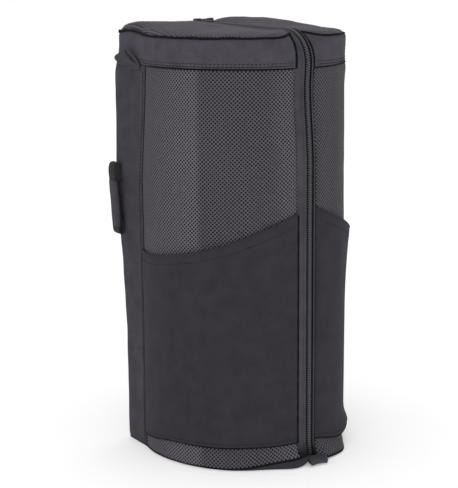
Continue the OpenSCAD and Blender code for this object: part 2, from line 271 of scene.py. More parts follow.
def top_point(x, y, off):
    """The top of one half: a padded lobe, higher towards the back, that dips to its rim and to the zip."""
    inside, _, _, u = rim_distance(x, y)
    px, py, drop = cap_point(x, y, off, top_radius(u), seam_turn(u))
    rim = rim_height(u)
    beside = np.maximum(x - TAPE_EDGE, 0)
    crest = 3.4 + 6.4 * smooth_step((y + 45) / 85) + 1.4 * (1 - np.exp(-beside / 20)) + RIM
    zip_side = ZIP_TOP + zip_rise(y)
    level = zip_side + (crest - zip_side) * (1 - np.exp(-beside / 10))
    lobe = (level - rim) * (1 - np.exp(-inside / 9))
    pucker = 0.7 * ripple(x * 1.6, y * 1.6, 4) * smooth_step(beside / 25)
    pucker = pucker + 1.0 * ripple(u * 2.6, 0 * u, 6) * np.exp(-inside / 7) * smooth_step(beside / 30)
    return np.stack([px, py, rim + drop + lobe + pucker], -1)


def base_point(x, y, off):
    u = rim_distance(x, y)[3]
    px, py, drop = cap_point(x, y, off, base_radius(u), math.pi / 4)
    return np.stack([px, py, -drop], -1)


class SidePath:
    """A path seen from the side: from the back along the top, down the front, and back under the base."""

    def __init__(self, back, front, top, low, top_bend, base_bend):
        self.back = back
        self.top = top
        self.bends = top_bend, base_bend
        self.top_centre = front + top_bend, top - top_bend
        self.base_centre = front + base_bend, low + base_bend
        self.drop = top - top_bend - low - base_bend
        self.ends = np.cumsum([back - front - top_bend, top_bend * math.pi / 2,
                               self.drop, base_bend * math.pi / 2])
        self.length = self.ends[-1] + back - front - base_bend

    def at(self, q):
        """y, z and the outward direction's y and z, at distance q along the path."""
        a, b, c, d = (q - end for end in self.ends)
        top_bend, base_bend = self.bends
        turn = np.clip(a / top_bend, 0, math.pi / 2) + np.clip(c / base_bend, 0, math.pi / 2)
        ny, nz = -np.sin(turn), np.cos(turn)
        y = np.where(c <= 0, self.top_centre[0] + top_bend * ny, self.base_centre[0] + base_bend * ny)
        y = np.where(a <= 0, self.back - q, np.where(d > 0, self.base_centre[0] + d, y))
        down = self.top_centre[1] + top_bend * nz - np.clip(b, 0, self.drop)
        z = np.where(c <= 0, down, self.base_centre[1] + base_bend * nz)
        return y, np.where(a <= 0, self.top, z), ny, nz


ZIP = SidePath(ZIP_BACK, -RADIUS, ZIP_TOP, BASE_RECESS, TOP_BEND, BASE_BEND)


def zip_rise(y):
    """The zip's slight climb along the top, towards the back."""
    return 1.5 * smooth_step((y + 72) / 130)


def zip_point(q, x, off):
    """Point at distance q along the zip from its top rear end, at x across it, pushed out by off."""
    q, x, off = np.broadcast_arrays(np.asarray(q, float), x, off)
    y, z, ny, nz = ZIP.at(q)
    z = z + np.where(q <= ZIP.ends[0], zip_rise(y), 0)
    return np.stack([x, y + ny * off, z + nz * off], -1)


# ---------------------------------------------------------------- the cloth's overall set


def settle(p):
    """The way this case sits: smooth departures from the plain shape, shared by every soft piece."""
    x, y, z = p[:, 0], p[:, 1], p[:, 2]
    angle = np.degrees(np.arctan2(x, -y))
    radius = np.hypot(x, y)
    outer = smooth_step((radius - 90) / 14)
    # the left rear corner leans out, most of all under the band
    lean = 8.5 * smooth_step((z - 100) / 240) - 5 * smooth_step((z - 412) / 30)
    corner = smooth_step((y - 34) / 42) * smooth_step((-x - 10) / 70)
    # the base spreads towards the right of the front
    spread = np.exp(-(z / 13) ** 2) * outer * smooth_step((-y + 40) / 60)
    flare = 4.2 * smooth_step((angle + 80) / 40) * smooth_step((5 - angle) / 20)
    flare = flare + 11 * np.exp(-((angle + 9) / 10) ** 2)
    flare = flare + 11 * smooth_step((angle - 2) / 8) * smooth_step((46 - angle) / 24)
    # the zip wanders from side to side on its way down the front
    front = smooth_step((-y - 25) / 60) * np.exp(-(x / 75) ** 2)
    wander = 2.2 * (1 - smooth_step((z - 320) / 60)) - 2.2 * np.exp(-((z - 402) / 28) ** 2)
    # the rim rides up over the left side
    ride_up = 3.5 * np.exp(-((x + 104) ** 2 + (y - 56) ** 2) / 20 ** 2) * smooth_step((z - 425) / 30)
    # the right side is drawn in a little under its band, and its lobe is fullest beside the rear of the zip
    drawn_in = 2 * smooth_step((418 - z) / 20) * smooth_step((x - 50) / 50)
    lobe = 2.6 * np.exp(-((x - 28) / 24) ** 2) * smooth_step(y / 50) - 3 * smooth_step((x - 62) / 36)
    ride_up = ride_up + lobe * smooth_step((z - 452) / 7) * smooth_step((x - 8) / 14)
    safe = np.maximum(radius, 1)
    return np.stack([
        x - 0.78 * lean * corner + x / safe * spread * flare + front * wander - drawn_in,
        y + 0.62 * lean * corner + y / safe * spread * flare,
        z + ride_up,
    ], -1)


# ---------------------------------------------------------------- mesh building


class Part:
    """Collects meshes in millimetres for one piece, then makes its Blender object.
    side is -1 for a piece of the left half, which is mirrored from the right."""

    def __init__(self, name, side, body=None):
        self.name = name
        self.side = side
        self.body = body
        self.points = []
        self.faces = []
        self.uvs = []
        self.slots = []
        self.count = 0

    def add(self, points, faces, uv, slot=0):
        points = np.asarray(points, float).reshape(-1, 3)
        self.points.append(points)
        self.uvs.append(np.asarray(uv, float).reshape(-1, 2))
        self.faces.extend(tuple(int(i) + self.count for i in face) for face in faces)
        self.slots.extend([slot] * len(faces))
        self.count += len(points)

    def tilt(self, degrees, pivot):
        """Turn everything made so far about an axis along X."""
        turn = math.radians(degrees)
        for points in self.points:
            y = points[:, 1] - pivot[1]
            z = points[:, 2] - pivot[2]
            points[:, 1] = pivot[1] + y * math.cos(turn) - z * math.sin(turn)
            points[:, 2] = pivot[2] + y * math.sin(turn) + z * math.cos(turn)

    def build(self, materials, cad_slot, soft=True, blend=None):
        """Make the object: it rides its body in place of its CAD node, or, given blend, stays fixed in
        place over the spine.
        """
        points = np.concatenate(self.points) * [self.side, 1, 1]
        if soft:
            points = settle(points)
        mesh = bpy.data.meshes.new(self.name)
        mesh.from_pydata((points / 1000).tolist(), [], self.faces)
        mesh.polygons.foreach_set("use_smooth", [True] * len(mesh.polygons))
        mesh.polygons.foreach_set("material_index", self.slots)
        uv = np.concatenate(self.uvs)
        corner = np.empty(len(mesh.loops), int)
        mesh.loops.foreach_get("vertex_index", corner)
        layer = mesh.uv_layers.new(name="cloth")
        layer.data.foreach_set("uv", uv[corner].ravel())
        for material in materials:
            mesh.materials.append(material)
        tidy = bmesh.new()
        tidy.from_mesh(mesh)
        bmesh.ops.recalc_face_normals(tidy, faces=tidy.faces)
        tidy.to_mesh(mesh)
        tidy.free()
        mesh.update()
        piece = bpy.data.objects.new(self.name, mesh)
        bpy.context.scene.collection.objects.link(piece)
        if blend:
            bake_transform(piece)
        else:
            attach(piece, self.body)
            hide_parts(self.name)


def spaced(length, step, edge):
    """Distances from 0 to length, close together within edge of each end."""
    near = edge * np.array([0, 0.05, 0.2, 0.45, 0.72])
    count = max(1, round((length - 2 * edge) / step))
    middle = np.linspace(edge, length - edge, count + 1)
    return np.concatenate([near, middle, length - near[::-1]])


def grid_faces(m, n, start=0):
    i, j = np.meshgrid(np.arange(m - 1), np.arange(n - 1), indexing="ij")
    a = start + i * n + j
    return np.stack([a, a + n, a + n + 1, a + 1], -1).reshape(-1, 4)


def slab(part, surface, length_u, length_v, thickness, edge=2.0, step=4.0, sink=0.0, slot=0, uv_of=None,
         edge_v=None, step_v=None):
    """A closed panel of cloth: surface(u, v, off) gives its points. It thins to a rounded edge all round,
    and its borders sink in by sink, as a seam pulls them."""
    edge_v = edge_v or edge
    us = spaced(length_u, step, min(edge, length_u * 0.45))
    vs = spaced(length_v, step_v or step, min(edge_v, length_v * 0.45))
    u, v = np.meshgrid(us, vs, indexing="ij")
    near_u = np.minimum(u, length_u - u) / edge
    near_v = np.minimum(v, length_v - v) / edge_v
    lack = np.clip(1 - np.minimum(near_u, near_v), 0, 1)
    pull = np.clip(1 - np.minimum(near_u, near_v) / 3, 0, 1) ** 2
    half = 0.5 * thickness * np.sqrt(1 - lack ** 2) + 0.02
    middle = -0.5 * thickness - sink * pull
    outer = surface(u, v, middle + half)
    inner = surface(u, v, middle - half)
    m, n = u.shape
    faces = np.concatenate([grid_faces(m, n), grid_faces(m, n, m * n)[:, ::-1]])
    ring = ([i * n for i in range(m)] + [(m - 1) * n + j for j in range(1, n)]
            + [i * n + n - 1 for i in range(m - 2, -1, -1)] + [j for j in range(n - 2, 0, -1)])
    size = m * n
    sides = [(a, a + size, b + size, b) for a, b in zip(ring, ring[1:] + ring[:1])]
    uv = np.stack(uv_of(u, v) if uv_of else (u, v), -1).reshape(-1, 2)
    part.add(np.concatenate([outer.reshape(-1, 3), inner.reshape(-1, 3)]),
             [tuple(f) for f in faces] + sides, np.concatenate([uv, uv]), slot)


def half_disc(outline, x_from, surface):
    """Maps (u, v) on to the half plan: u along the outline from front to back, v out from the zip."""
    start = outline.at_x(x_from)
    end = outline.length - x_from
    length = end - start
    reach = 100.0

    def mapped(u, v, off):
        ox, oy, _, _ = outline.at(start + u)
        first = outline.at(np.array(start))[1]
        last = outline.at(np.array(end))[1]
        line_y = first + (last - first) * u / length
        t = v / reach
        x = x_from + (ox - x_from) * t
        y = line_y + (oy - line_y) * t
        return surface(x, y, off)

    return mapped, length, reach


def ring_faces(count, sides, closed=False):
    """Faces of a tube made of rings of points: its wall, and its two ends unless it is closed on itself."""
    faces = []
    for i in range(count if closed else count - 1):
        for j in range(sides):
            k = (j + 1) % sides
            n = (i + 1) % count
            faces.append((i * sides + j, i * sides + k, n * sides + k, n * sides + j))
    if not closed:
        faces.append(tuple(range(sides)))
        faces.append(tuple(range((count - 1) * sides, count * sides))[::-1])
    return faces


def tube(part, path, radius, sides=8, closed=False, slot=0, up=(0.0, 0.0, 1.0)):
    """A round cord along a path of points."""
    path = np.asarray(path, float)
    count = len(path)
    if closed:
        along = np.roll(path, -1, 0) - np.roll(path, 1, 0)
    else:
        along = np.gradient(path, axis=0)
    along = along / np.maximum(np.linalg.norm(along, axis=1, keepdims=True), 1e-9)
    across = np.cross(along, np.broadcast_to(up, along.shape))
    weak = np.linalg.norm(across, axis=1, keepdims=True) < 1e-3
    across = np.where(weak, np.cross(along, [1.0, 0.0, 0.0]), across)
    across = unit(across)
    lift = np.cross(across, along)
    radius = np.broadcast_to(np.asarray(radius, float), (count,))
    turn = np.arange(sides) / sides * 2 * math.pi
    rings = (path[:, None] + across[:, None] * np.cos(turn)[None, :, None] * radius[:, None, None]
             + lift[:, None] * np.sin(turn)[None, :, None] * radius[:, None, None])
    uv = points_at(length_along(path)[:, None], (turn * np.mean(radius))[None, :])
    part.add(rings, ring_faces(count, sides, closed), uv, slot)


def surface_line(surface, us, vs, off=0.0):
    """Points and outward directions along a line drawn on a surface."""
    us, vs = np.broadcast_arrays(np.asarray(us, float), np.asarray(vs, float))
    line = surface(us, vs, np.full(us.shape, off))
    out = surface(us, vs, np.full(us.shape, off + 1.0)) - line
    return line, out


def length_along(path):
    """Distance from the start of a path at each of its points."""
    return np.concatenate([[0], np.cumsum(np.linalg.norm(np.diff(path, axis=0), axis=1))])


def follow(s, distance, values):
    """Values given at distances along a path, read off at the distances s."""
    return np.stack([np.interp(s, distance, values[:, k]) for k in range(3)], -1)


def stitches(part, surface, us, vs, radius=0.3):
    """A row of thread stitches along a line on a surface, in the part's second material."""
    line, out = surface_line(surface, us, vs)
    distance = length_along(line)
    pitch = STITCH + STITCH_GAP
    for i in range(int(distance[-1] // pitch)):
        s = (i + 0.25) * pitch + STITCH * np.array([0, 0.12, 0.5, 0.88, 1])
        lift = np.array([-0.3, 0.05, 0.16, 0.05, -0.3])
        normal = follow(s, distance, out)
        path = follow(s, distance, line) + normal * lift[:, None]
        tube(part, path, radius * np.array([0.6, 1, 1, 1, 0.6]), 5, slot=1, up=normal[2])


def seam_shade_cord(part, surface, us, vs, radius, sunk=0.9):
    """Painted shade in a seam: a thin, uneven, near-black cord sunk along a line on a surface, where the
    seam's shadow falls.
    """
    line, out = surface_line(surface, us, vs, -sunk)
    us, vs = np.broadcast_arrays(us, vs)
    girth = radius * (1 + 0.25 * ripple(us * 6, vs * 6, 8))
    tube(part, line, girth, 6, slot=1, up=out[len(out) // 2])


# ---------------------------------------------------------------- materials


def new_material(name):
    """An empty node material: the material, a Graph of its nodes and its shader."""
    material = bpy.data.materials.new(name)
    material.use_nodes = True
    tree = material.node_tree
    tree.nodes.clear()
    out = tree.nodes.new("ShaderNodeOutputMaterial")
    shader = tree.nodes.new("ShaderNodeBsdfPrincipled")
    tree.links.new(shader.outputs[0], out.inputs[0])
    return material, Graph(tree), shader


def set_inputs(node, **values):
    """Plain values for a node's inputs, by their names with _ for a space."""
    for name, value in values.items():
        node.inputs[name.replace("_", " ")].default_value = value


class Graph:
    """Short ways to add shader nodes."""

    def __init__(self, tree):
        self.tree = tree

    def node(self, kind, **values):
        made = self.tree.nodes.new(kind)
        for key, value in values.items():
            setattr(made, key, value)
        return made

    def plug(self, source, socket):
        if isinstance(source, (int, float, tuple)):
            socket.default_value = source
        else:
            self.tree.links.new(source, socket)

    def math(self, operation, a, b=0.0, c=0.0):
        made = self.node("ShaderNodeMath", operation=operation)
        for value, socket in zip((a, b, c), made.inputs):
            self.plug(value, socket)
        return made.outputs[0]

    def cloth(self):
        """The two distances along the cloth, in millimetres."""
        uv = self.node("ShaderNodeUVMap", uv_map="cloth")
        split = self.node("ShaderNodeSeparateXYZ")
        self.plug(uv.outputs[0], split.inputs[0])
        return split.outputs[0], split.outputs[1]

    def wave(self, distance, period):
        """Cosine of a distance, from -1 to 1."""
        return self.math("COSINE", self.math("MULTIPLY", distance, 2 * math.pi / period))

    def place(self):
        """Where a point lies on its object, in metres."""
        return self.node("ShaderNodeTexCoord").outputs["Object"]

    def noise(self, scale, detail=2.0, roughness=0.5):
        """Noise over the object; scale is in features per metre."""
        made = self.node("ShaderNodeTexNoise")
        self.plug(self.place(), made.inputs["Vector"])
        set_inputs(made, Scale=scale, Detail=detail, Roughness=roughness)
        return made.outputs["Fac"]

    def ramp(self, value, low, high, out_low=0.0, out_high=1.0):
        made = self.node("ShaderNodeMapRange", interpolation_type="SMOOTHSTEP")
        for item, socket in zip((value, low, high, out_low, out_high), made.inputs):
            self.plug(item, socket)
        return made.outputs[0]

    def mix(self, share, a, b):
        made = self.node("ShaderNodeMix", data_type="RGBA")
        self.plug(share, made.inputs[0])
        self.plug(a, made.inputs[6])
        self.plug(b, made.inputs[7])
        return made.outputs[2]

    def bump(self, height, distance, strength=1.0, normal=None):
        made = self.node("ShaderNodeBump")
        self.plug(height, made.inputs["Height"])
        set_inputs(made, Distance=distance / 1000, Strength=strength)
        if normal is not None:
            self.plug(normal, made.inputs["Normal"])
        return made.outputs[0]


def shade(r, g, b):
    """A colour given as the 0 to 255 values a screen shows, as linear RGBA."""
    def linear(c):
        c = c / 255
        return c / 12.92 if c <= 0.04045 else ((c + 0.055) / 1.055) ** 2.4
    return (linear(r), linear(g), linear(b), 1.0)


def dimmed(colour, share):
    return tuple(c * share for c in colour[:3]) + (1.0,)


def shaded_low(g, colour):
    """Painted shade: a colour that goes nearly black low down, where the zip runs in under the base into
    shadow.
    """
    split = g.node("ShaderNodeSeparateXYZ")
    g.plug(g.place(), split.inputs[0])
    return g.mix(g.ramp(split.outputs[2], 0.01, 0.027, 0.05, 1.0), shade(4, 4, 5), colour)


def woven(name, dark, light, period=0.9, roughness=0.85, sheen=0.02, crease=0.5, twill=False, low_shade=False):
    """Plain woven cloth: fine over-and-under weave, soft mottling and shallow creases."""
    material, g, shader = new_material(name)
    u, v = g.cloth()
    if twill:
        u = g.math("ADD", u, v)
    weave = g.math("MULTIPLY", g.wave(u, period), g.wave(v, period))
    mottle = g.noise(55, 3.0, 0.6)
    fine = g.noise(900, 2.0, 0.7)
    share = g.math("ADD", g.math("MULTIPLY", mottle, 0.55), g.math("MULTIPLY", fine, 0.45))
    share = g.math("MULTIPLY_ADD", weave, 0.16, share)
    colour = g.mix(g.ramp(share, 0.25, 0.8), dark, light)
    # painted shade low down, near the base, when asked for
    g.plug(shaded_low(g, colour) if low_shade else colour, shader.inputs["Base Color"])
    g.plug(g.ramp(fine, 0.2, 0.9, roughness - 0.08, min(1.0, roughness + 0.08)), shader.inputs["Roughness"])
    set_inputs(shader, Sheen_Weight=sheen, Sheen_Roughness=0.5, Specular_IOR_Level=0.12)
    creases = g.bump(g.noise(28, 3.0, 0.55), 2.2, crease)
    g.plug(g.bump(weave, 0.09, 0.6, creases), shader.inputs["Normal"])
    return material


FOLD_AT = 120
HOLE_PITCH = 4.2
RIB_PITCH = 2.7
PINCH_PITCH = 3.4


def hand(g, u, dull, full):
    """Painted light and shade across the mesh's width: brighter up to one long fold, and by the zip."""
    slope = g.ramp(u, FOLD_AT, FOLD_AT + 95, 1.0, 0.0)
    step = g.ramp(u, FOLD_AT - 4, FOLD_AT + 5)
    by_zip = g.ramp(u, 22, 52, 0.7, 0.0)
    share = g.math("MULTIPLY_ADD", slope, step, by_zip)
    return g.math("MULTIPLY_ADD", share, full - dull, dull)


def air_mesh(name, thread, hole, dull, full):
    """Spacer mesh: a knitted face with rows of staggered diamond holes over a dark core."""
    material, g, shader = new_material(name)
    u, v = g.cloth()
    lattice = g.math("MULTIPLY", g.wave(u, HOLE_PITCH), g.wave(v, HOLE_PITCH))
    uneven = g.math("MULTIPLY_ADD", g.noise(260, 2.0, 0.6), 0.34, -0.17)
    lattice = g.math("ADD", lattice, uneven)
    open_share = g.ramp(lattice, 0.06, 0.36)
    strand = g.math("ADD", g.wave(g.math("ADD", u, v), 0.7), g.wave(g.math("SUBTRACT", u, v), 0.7))
    strand = g.math("MULTIPLY_ADD", strand, 0.25, 0.5)
    lit = g.math("MULTIPLY_ADD", g.noise(420, 3.0, 0.7), 0.7, g.math("MULTIPLY", strand, 0.4))
    knit = g.mix(g.ramp(lit, 0.25, 0.85), dimmed(thread, 0.55), thread)
    broad = g.ramp(g.noise(14, 2.0, 0.5), 0.3, 0.7, 0.0, 0.25)
    knit = g.mix(broad, knit, dimmed(thread, 0.5))
    knit = g.mix(hand(g, u, dull, full), (0.0, 0.0, 0.0, 1.0), knit)
    g.plug(g.mix(open_share, knit, hole), shader.inputs["Base Color"])
    set_inputs(shader, Roughness=0.75, Sheen_Weight=0.03, Specular_IOR_Level=0.2)
    soft = g.bump(g.noise(22, 2.0, 0.5), 1.6, 0.5)
    threads = g.bump(strand, 0.12, 0.5, soft)
    g.plug(g.bump(g.math("SUBTRACT", 1.0, open_share), 1.1, 0.9, threads), shader.inputs["Normal"])
    return material


def ribbed_mesh(name, thread, gap):
    """Ribbed mesh: fine raised ribs with small pinched holes between them."""
    material, g, shader = new_material(name)
    u, v = g.cloth()
    sway = g.math("MULTIPLY_ADD", g.noise(120, 2.0, 0.5), 1.6, g.math("MULTIPLY", v, 0.12))
    across = g.math("ADD", u, sway)
    ribs = g.wave(across, RIB_PITCH)
    pinch = g.wave(v, PINCH_PITCH)
    relief = g.math("MULTIPLY_ADD", pinch, 0.35, ribs)
    uneven = g.math("MULTIPLY_ADD", g.noise(300, 2.0, 0.6), 0.9, -0.45)
    open_share = g.ramp(g.math("ADD", relief, uneven), 0.1, 1.1, 0.0, 0.95)
    mottle = g.ramp(g.noise(40, 2.0, 0.5), 0.3, 0.7, 0.0, 0.35)
    knit = g.mix(mottle, thread, dimmed(thread, 0.5))
    g.plug(g.mix(open_share, knit, gap), shader.inputs["Base Color"])
    set_inputs(shader, Roughness=0.78, Sheen_Weight=0.03, Specular_IOR_Level=0.2)
    soft = g.bump(g.noise(30, 2.0, 0.5), 1.6, 0.5)
    g.plug(g.bump(g.math("SUBTRACT", 1.0, open_share), 0.7, 0.9, soft), shader.inputs["Normal"])
    return material


def webbing_cloth(name, dark, light, rib=1.6):
    """Webbing: ribs along it with slanted picks across them."""
    material, g, shader = new_material(name)
    along, across = g.cloth()
    ribs = g.wave(across, rib)
    sawtooth = g.math("FRACT", g.math("MULTIPLY", across, 0.5 / rib))
    folded = g.math("ABSOLUTE", g.math("SUBTRACT", sawtooth, 0.5))
    picks = g.wave(g.math("MULTIPLY_ADD", folded, 2 * rib, along), 1.1)
    pattern = g.math("MULTIPLY_ADD", picks, 0.5, ribs)
    fuzz = g.noise(1100, 2.0, 0.7)
    share = g.math("MULTIPLY_ADD", pattern, 0.18, fuzz)
    g.plug(g.mix(g.ramp(share, 0.2, 0.9), dark, light), shader.inputs["Base Color"])
    set_inputs(shader, Roughness=0.72, Sheen_Weight=0.03, Specular_IOR_Level=0.2)
    g.plug(g.bump(pattern, 0.18, 0.8), shader.inputs["Normal"])
    return material


def foam_like(name, dark, light):
    """Closed-cell foam with a faint pebbled skin."""
    material, g, shader = new_material(name)
    cell = g.node("ShaderNodeTexVoronoi")
    g.plug(g.place(), cell.inputs["Vector"])
    set_inputs(cell, Scale=700)
    g.plug(g.mix(g.ramp(g.noise(300, 3.0), 0.3, 0.7), dark, light), shader.inputs["Base Color"])
    set_inputs(shader, Roughness=0.9)
    g.plug(g.bump(cell.outputs["Distance"], 0.3, 0.6), shader.inputs["Normal"])
    return material


def hard(name, colour, roughness, metal, low_shade=False, gloss=0.5, wear=0.35):
    """Painted or moulded fittings with fine orange peel and worn, brighter edges."""
    material, g, shader = new_material(name)
    geometry = g.node("ShaderNodeNewGeometry")
    worn = g.ramp(geometry.outputs["Pointiness"], 0.52, 0.62, 0.0, wear)
    bright = tuple(min(1.0, c * 3 + 0.04) for c in colour[:3]) + (1.0,)
    shown = g.mix(worn, colour, bright)
    # painted shade low down, near the base, when asked for
    g.plug(shaded_low(g, shown) if low_shade else shown, shader.inputs["Base Color"])
    uneven = g.ramp(g.noise(500, 3.0), 0.2, 0.8, roughness - 0.07, roughness + 0.1)
    g.plug(uneven, shader.inputs["Roughness"])
    set_inputs(shader, Metallic=metal, Specular_IOR_Level=gloss)
    g.plug(g.bump(g.noise(1500, 1.0), 0.03, 0.5), shader.inputs["Normal"])
    return material


def net(name, thread):
    """Fine pocket netting: square holes that show the lining behind."""
    material, g, shader = new_material(name)
    u, v = g.cloth()
    lattice = g.math("MULTIPLY", g.wave(u, 3.0), g.wave(v, 3.0))
    open_share = g.ramp(lattice, 0.05, 0.3)
    g.plug(g.mix(open_share, thread, shade(8, 8, 9)), shader.inputs["Base Color"])
    set_inputs(shader, Roughness=0.7)
    g.plug(g.bump(g.math("SUBTRACT", 1.0, open_share), 0.5, 0.8), shader.inputs["Normal"])
    return material


PLAIN = woven("plain_fabric", shade(58, 55, 62), shade(80, 77, 85))
# The side strip's copy of the plain fabric, drawn darker: painted shade.
SHADED_STRIP = woven("shaded_strip_fabric", shade(48, 46, 52), shade(70, 67, 74))
POCKET = woven("pocket_fabric", shade(42, 39, 45), shade(55, 52, 59), crease=0.6)
BASE = woven("base_fabric", shade(40, 38, 43), shade(60, 58, 64))
MESH = air_mesh("air_mesh", shade(112, 107, 117), shade(7, 6, 9), dull=0.64, full=1.0)
# A darker copy of the mesh for the right half: painted shade on the side turned from the lamp.
SHADED_RIGHT_MESH = air_mesh("right_air_mesh", shade(108, 104, 113), shade(9, 8, 11), dull=0.6, full=0.74)
TOP_MESH = ribbed_mesh("ribbed_mesh", shade(88, 84, 92), shade(16, 14, 18))
# The zip's tape and coil get painted shade low down, where they run in under the base.
TAPE = woven("zip_tape", shade(54, 52, 58), shade(78, 76, 82), period=0.7, crease=0.1, twill=True,
             low_shade=True)
COIL = hard("zip_coil", shade(46, 44, 49), 0.4, 0.0, low_shade=True)
# Near-black cords in the seams are painted shade where the seams' shadows fall; some parts also sew their
# thread in this colour.
SEAM_SHADE_AND_THREAD = hard("seam_shadow", shade(15, 14, 17), 0.9, 0.0, gloss=0.15, wear=0.0)
METAL = hard("zip_metal", shade(66, 65, 69), 0.38, 0.6)
FOAM = foam_like("foam", shade(30, 30, 31), shade(44, 44, 46))
LINING = woven("lining", shade(40, 40, 43), shade(62, 61, 66), period=0.7, sheen=0.5, crease=0.4)
BINDING = webbing_cloth("binding", shade(18, 18, 20), shade(36, 36, 39), rib=1.0)
WEBBING = webbing_cloth("webbing", shade(40, 38, 43), shade(70, 67, 74))
# Handle webbing much darker than the other webbing: painted shade under and inside the handle.
SHADED_HANDLE_WEB = webbing_cloth("handle_webbing", shade(16, 16, 18), shade(40, 39, 42))
TAB = webbing_cloth("tab_webbing", shade(44, 43, 49), shade(78, 76, 86))
GRIP = woven("grip_fabric", shade(46, 44, 49), shade(70, 67, 74), period=0.8, sheen=0.05)
HOOK = foam_like("hook_tape", shade(16, 16, 18), shade(34, 34, 36))
LOOP = woven("loop_tape", shade(22, 22, 24), shade(40, 40, 42), period=0.5, sheen=0.8)
NET = net("pocket_net", shade(52, 52, 55))
DARK_THREAD = webbing_cloth("dark_thread", shade(14, 13, 16), shade(30, 29, 32), rib=0.4)


# ---------------------------------------------------------------- outer fabric, one half at a time


def panel_edge(side):
    """How far the panels stop short of the zip's middle: more tape shows on the left than on the right."""
    return 15.2 if side < 0 else 8.6


def wall_start(side):
    return OUTER.at_x(panel_edge(side))


def seam_height(u, side):
    """Height of the seam between base fabric and wall: on the left it lifts towards the zip."""
    angle = np.degrees(u / RADIUS)
    return 1.5 + (8.5 if side < 0 else 1.5) * smooth_step((46 - angle) / 40)


def pocket_rim(u, side):
    """Height of the pocket's mouth: highest at the zip, and falling all the way round the side."""
    angle = np.degrees(u / RADIUS)
    rim = POCKET_TOP - POCKET_SLOPE * OUTER.at(u)[0] - 7 * smooth_step((angle - 70) / 40)
    return rim - (4.0 if side < 0 else 2.5) * near_zip(u, 34)


def pocket_foot(u, side):
    """Height of the pocket's bottom seam: it drops a little, early on the right and late on the left."""
    angle = np.degrees(u / RADIUS)
    fall = smooth_step((angle - 4) / 22) if side > 0 else smooth_step((angle - 76) / 30)
    return POCKET_LOW + 0.5 - 6.5 * fall


def on_wall(start, low, crown, fold, seed, along_scale=1.0, z_scale=1.0):
    """A surface on the outer wall from a start and a lower edge, crowned by padding and a little folded."""
    def surface(u, v, off):
        along = start + u
        z = low + v
        return wall_point(along, z, off + crown + fold * ripple(along * along_scale, z * z_scale, seed))
    return surface


def stitches_up(part, surface, u, length_v):
    stitches(part, surface, u, np.linspace(4, length_v - 4, 120))


def zip_side_cord(part, surface, rise):
    """Painted shade in the seam beside the tape, wider on the left where more of the tape shows."""
    left = part.side < 0
    seam_shade_cord(part, surface, -0.8 if left else 0.2, rise, 1.15 if left else 0.7)


def wall_mesh(part):
    start = wall_start(part.side)
    length_u = OUTER.arc - start
    length_v = BAND_LOW

    def surface(u, v, off):
        along = start + u
        bottom = seam_height(along, part.side)
        z = bottom + (BAND_LOW - bottom) * v / length_v
        swell = 1.0 * np.sin(math.pi * np.clip(u / length_u, 0, 1)) ** 0.5
        folds = 0.45 * ripple(along, z, 1) + 0.8 * ripple(along * 1.1, z * 0.22, 12)
        free = smooth_step((BAND_LOW - z) / 30) * smooth_step((z - POCKET_TOP + 15) / 30)
        folds = folds + 1.2 * free * np.exp(-((along - FOLD_AT - 6) / 9) ** 2)
        return wall_point(along, z, off + swell + folds)

    slab(part, surface, length_u, length_v, CLOTH, edge=1.6, sink=1.3, uv_of=lambda u, v: (start + u, v))
    around = np.linspace(0, length_u, 120)
    up = np.linspace(0, length_v, 160)
    seam_shade_cord(part, surface, around, length_v - 0.2, 0.8)
    seam_shade_cord(part, surface, around, 0.3, 0.8)
    seam_shade_cord(part, surface, length_u - 0.1, up, 0.8)
    zip_side_cord(part, surface, up)
    # the right half takes the darker mesh: painted shade
    part.build([MESH if part.side < 0 else SHADED_RIGHT_MESH, SEAM_SHADE_AND_THREAD], "air_mesh")


def top_band(part):
    start = wall_start(part.side)
    length_u = OUTER.back_start - start
    length_v = HEIGHT - BAND_LOW
    surface = on_wall(start, BAND_LOW, 0.9, 0.5, 2, z_scale=1.5)
    slab(part, surface, length_u, length_v, CLOTH, edge=1.5, sink=1.4)
    around = np.linspace(0, length_u, 220)
    seam_shade_cord(part, surface, around, length_v - 0.1, 1.3, 0.4)
    zip_side_cord(part, surface, np.linspace(0, length_v, 40))
    for height in (3.0, 6.5):
        stitches(part, surface, np.linspace(3, length_u - 3, 160), height)
    part.build([PLAIN, SEAM_SHADE_AND_THREAD], "plain_fabric")


def side_strip(part):
    length_u = OUTER.back_start - OUTER.arc
    length_v = BAND_LOW - BASE_SEAM
    surface = on_wall(OUTER.arc, BASE_SEAM, 0.6, 0.7, 3, along_scale=1.3)
    slab(part, surface, length_u, length_v, CLOTH, edge=1.6, step=3.5, sink=1.3)
    stitches_up(part, surface, 3.5, length_v)
    # the strip takes the darker copy of the plain fabric: painted shade
    part.build([SHADED_STRIP, DARK_THREAD], "plain_fabric")


def back_panel(part):
    length_u = OUTER.length - OUTER.back_start - FOLD_GAP
    length_v = HEIGHT - BASE_SEAM
    surface = on_wall(OUTER.back_start, BASE_SEAM, 0.6, 0.6, 5)
    slab(part, surface, length_u, length_v, CLOTH, edge=1.6, sink=1.2)
    for near_end in (3.5, length_u - 3.5):
        stitches_up(part, surface, near_end, length_v)
    part.build([PLAIN, DARK_THREAD], "plain_fabric")


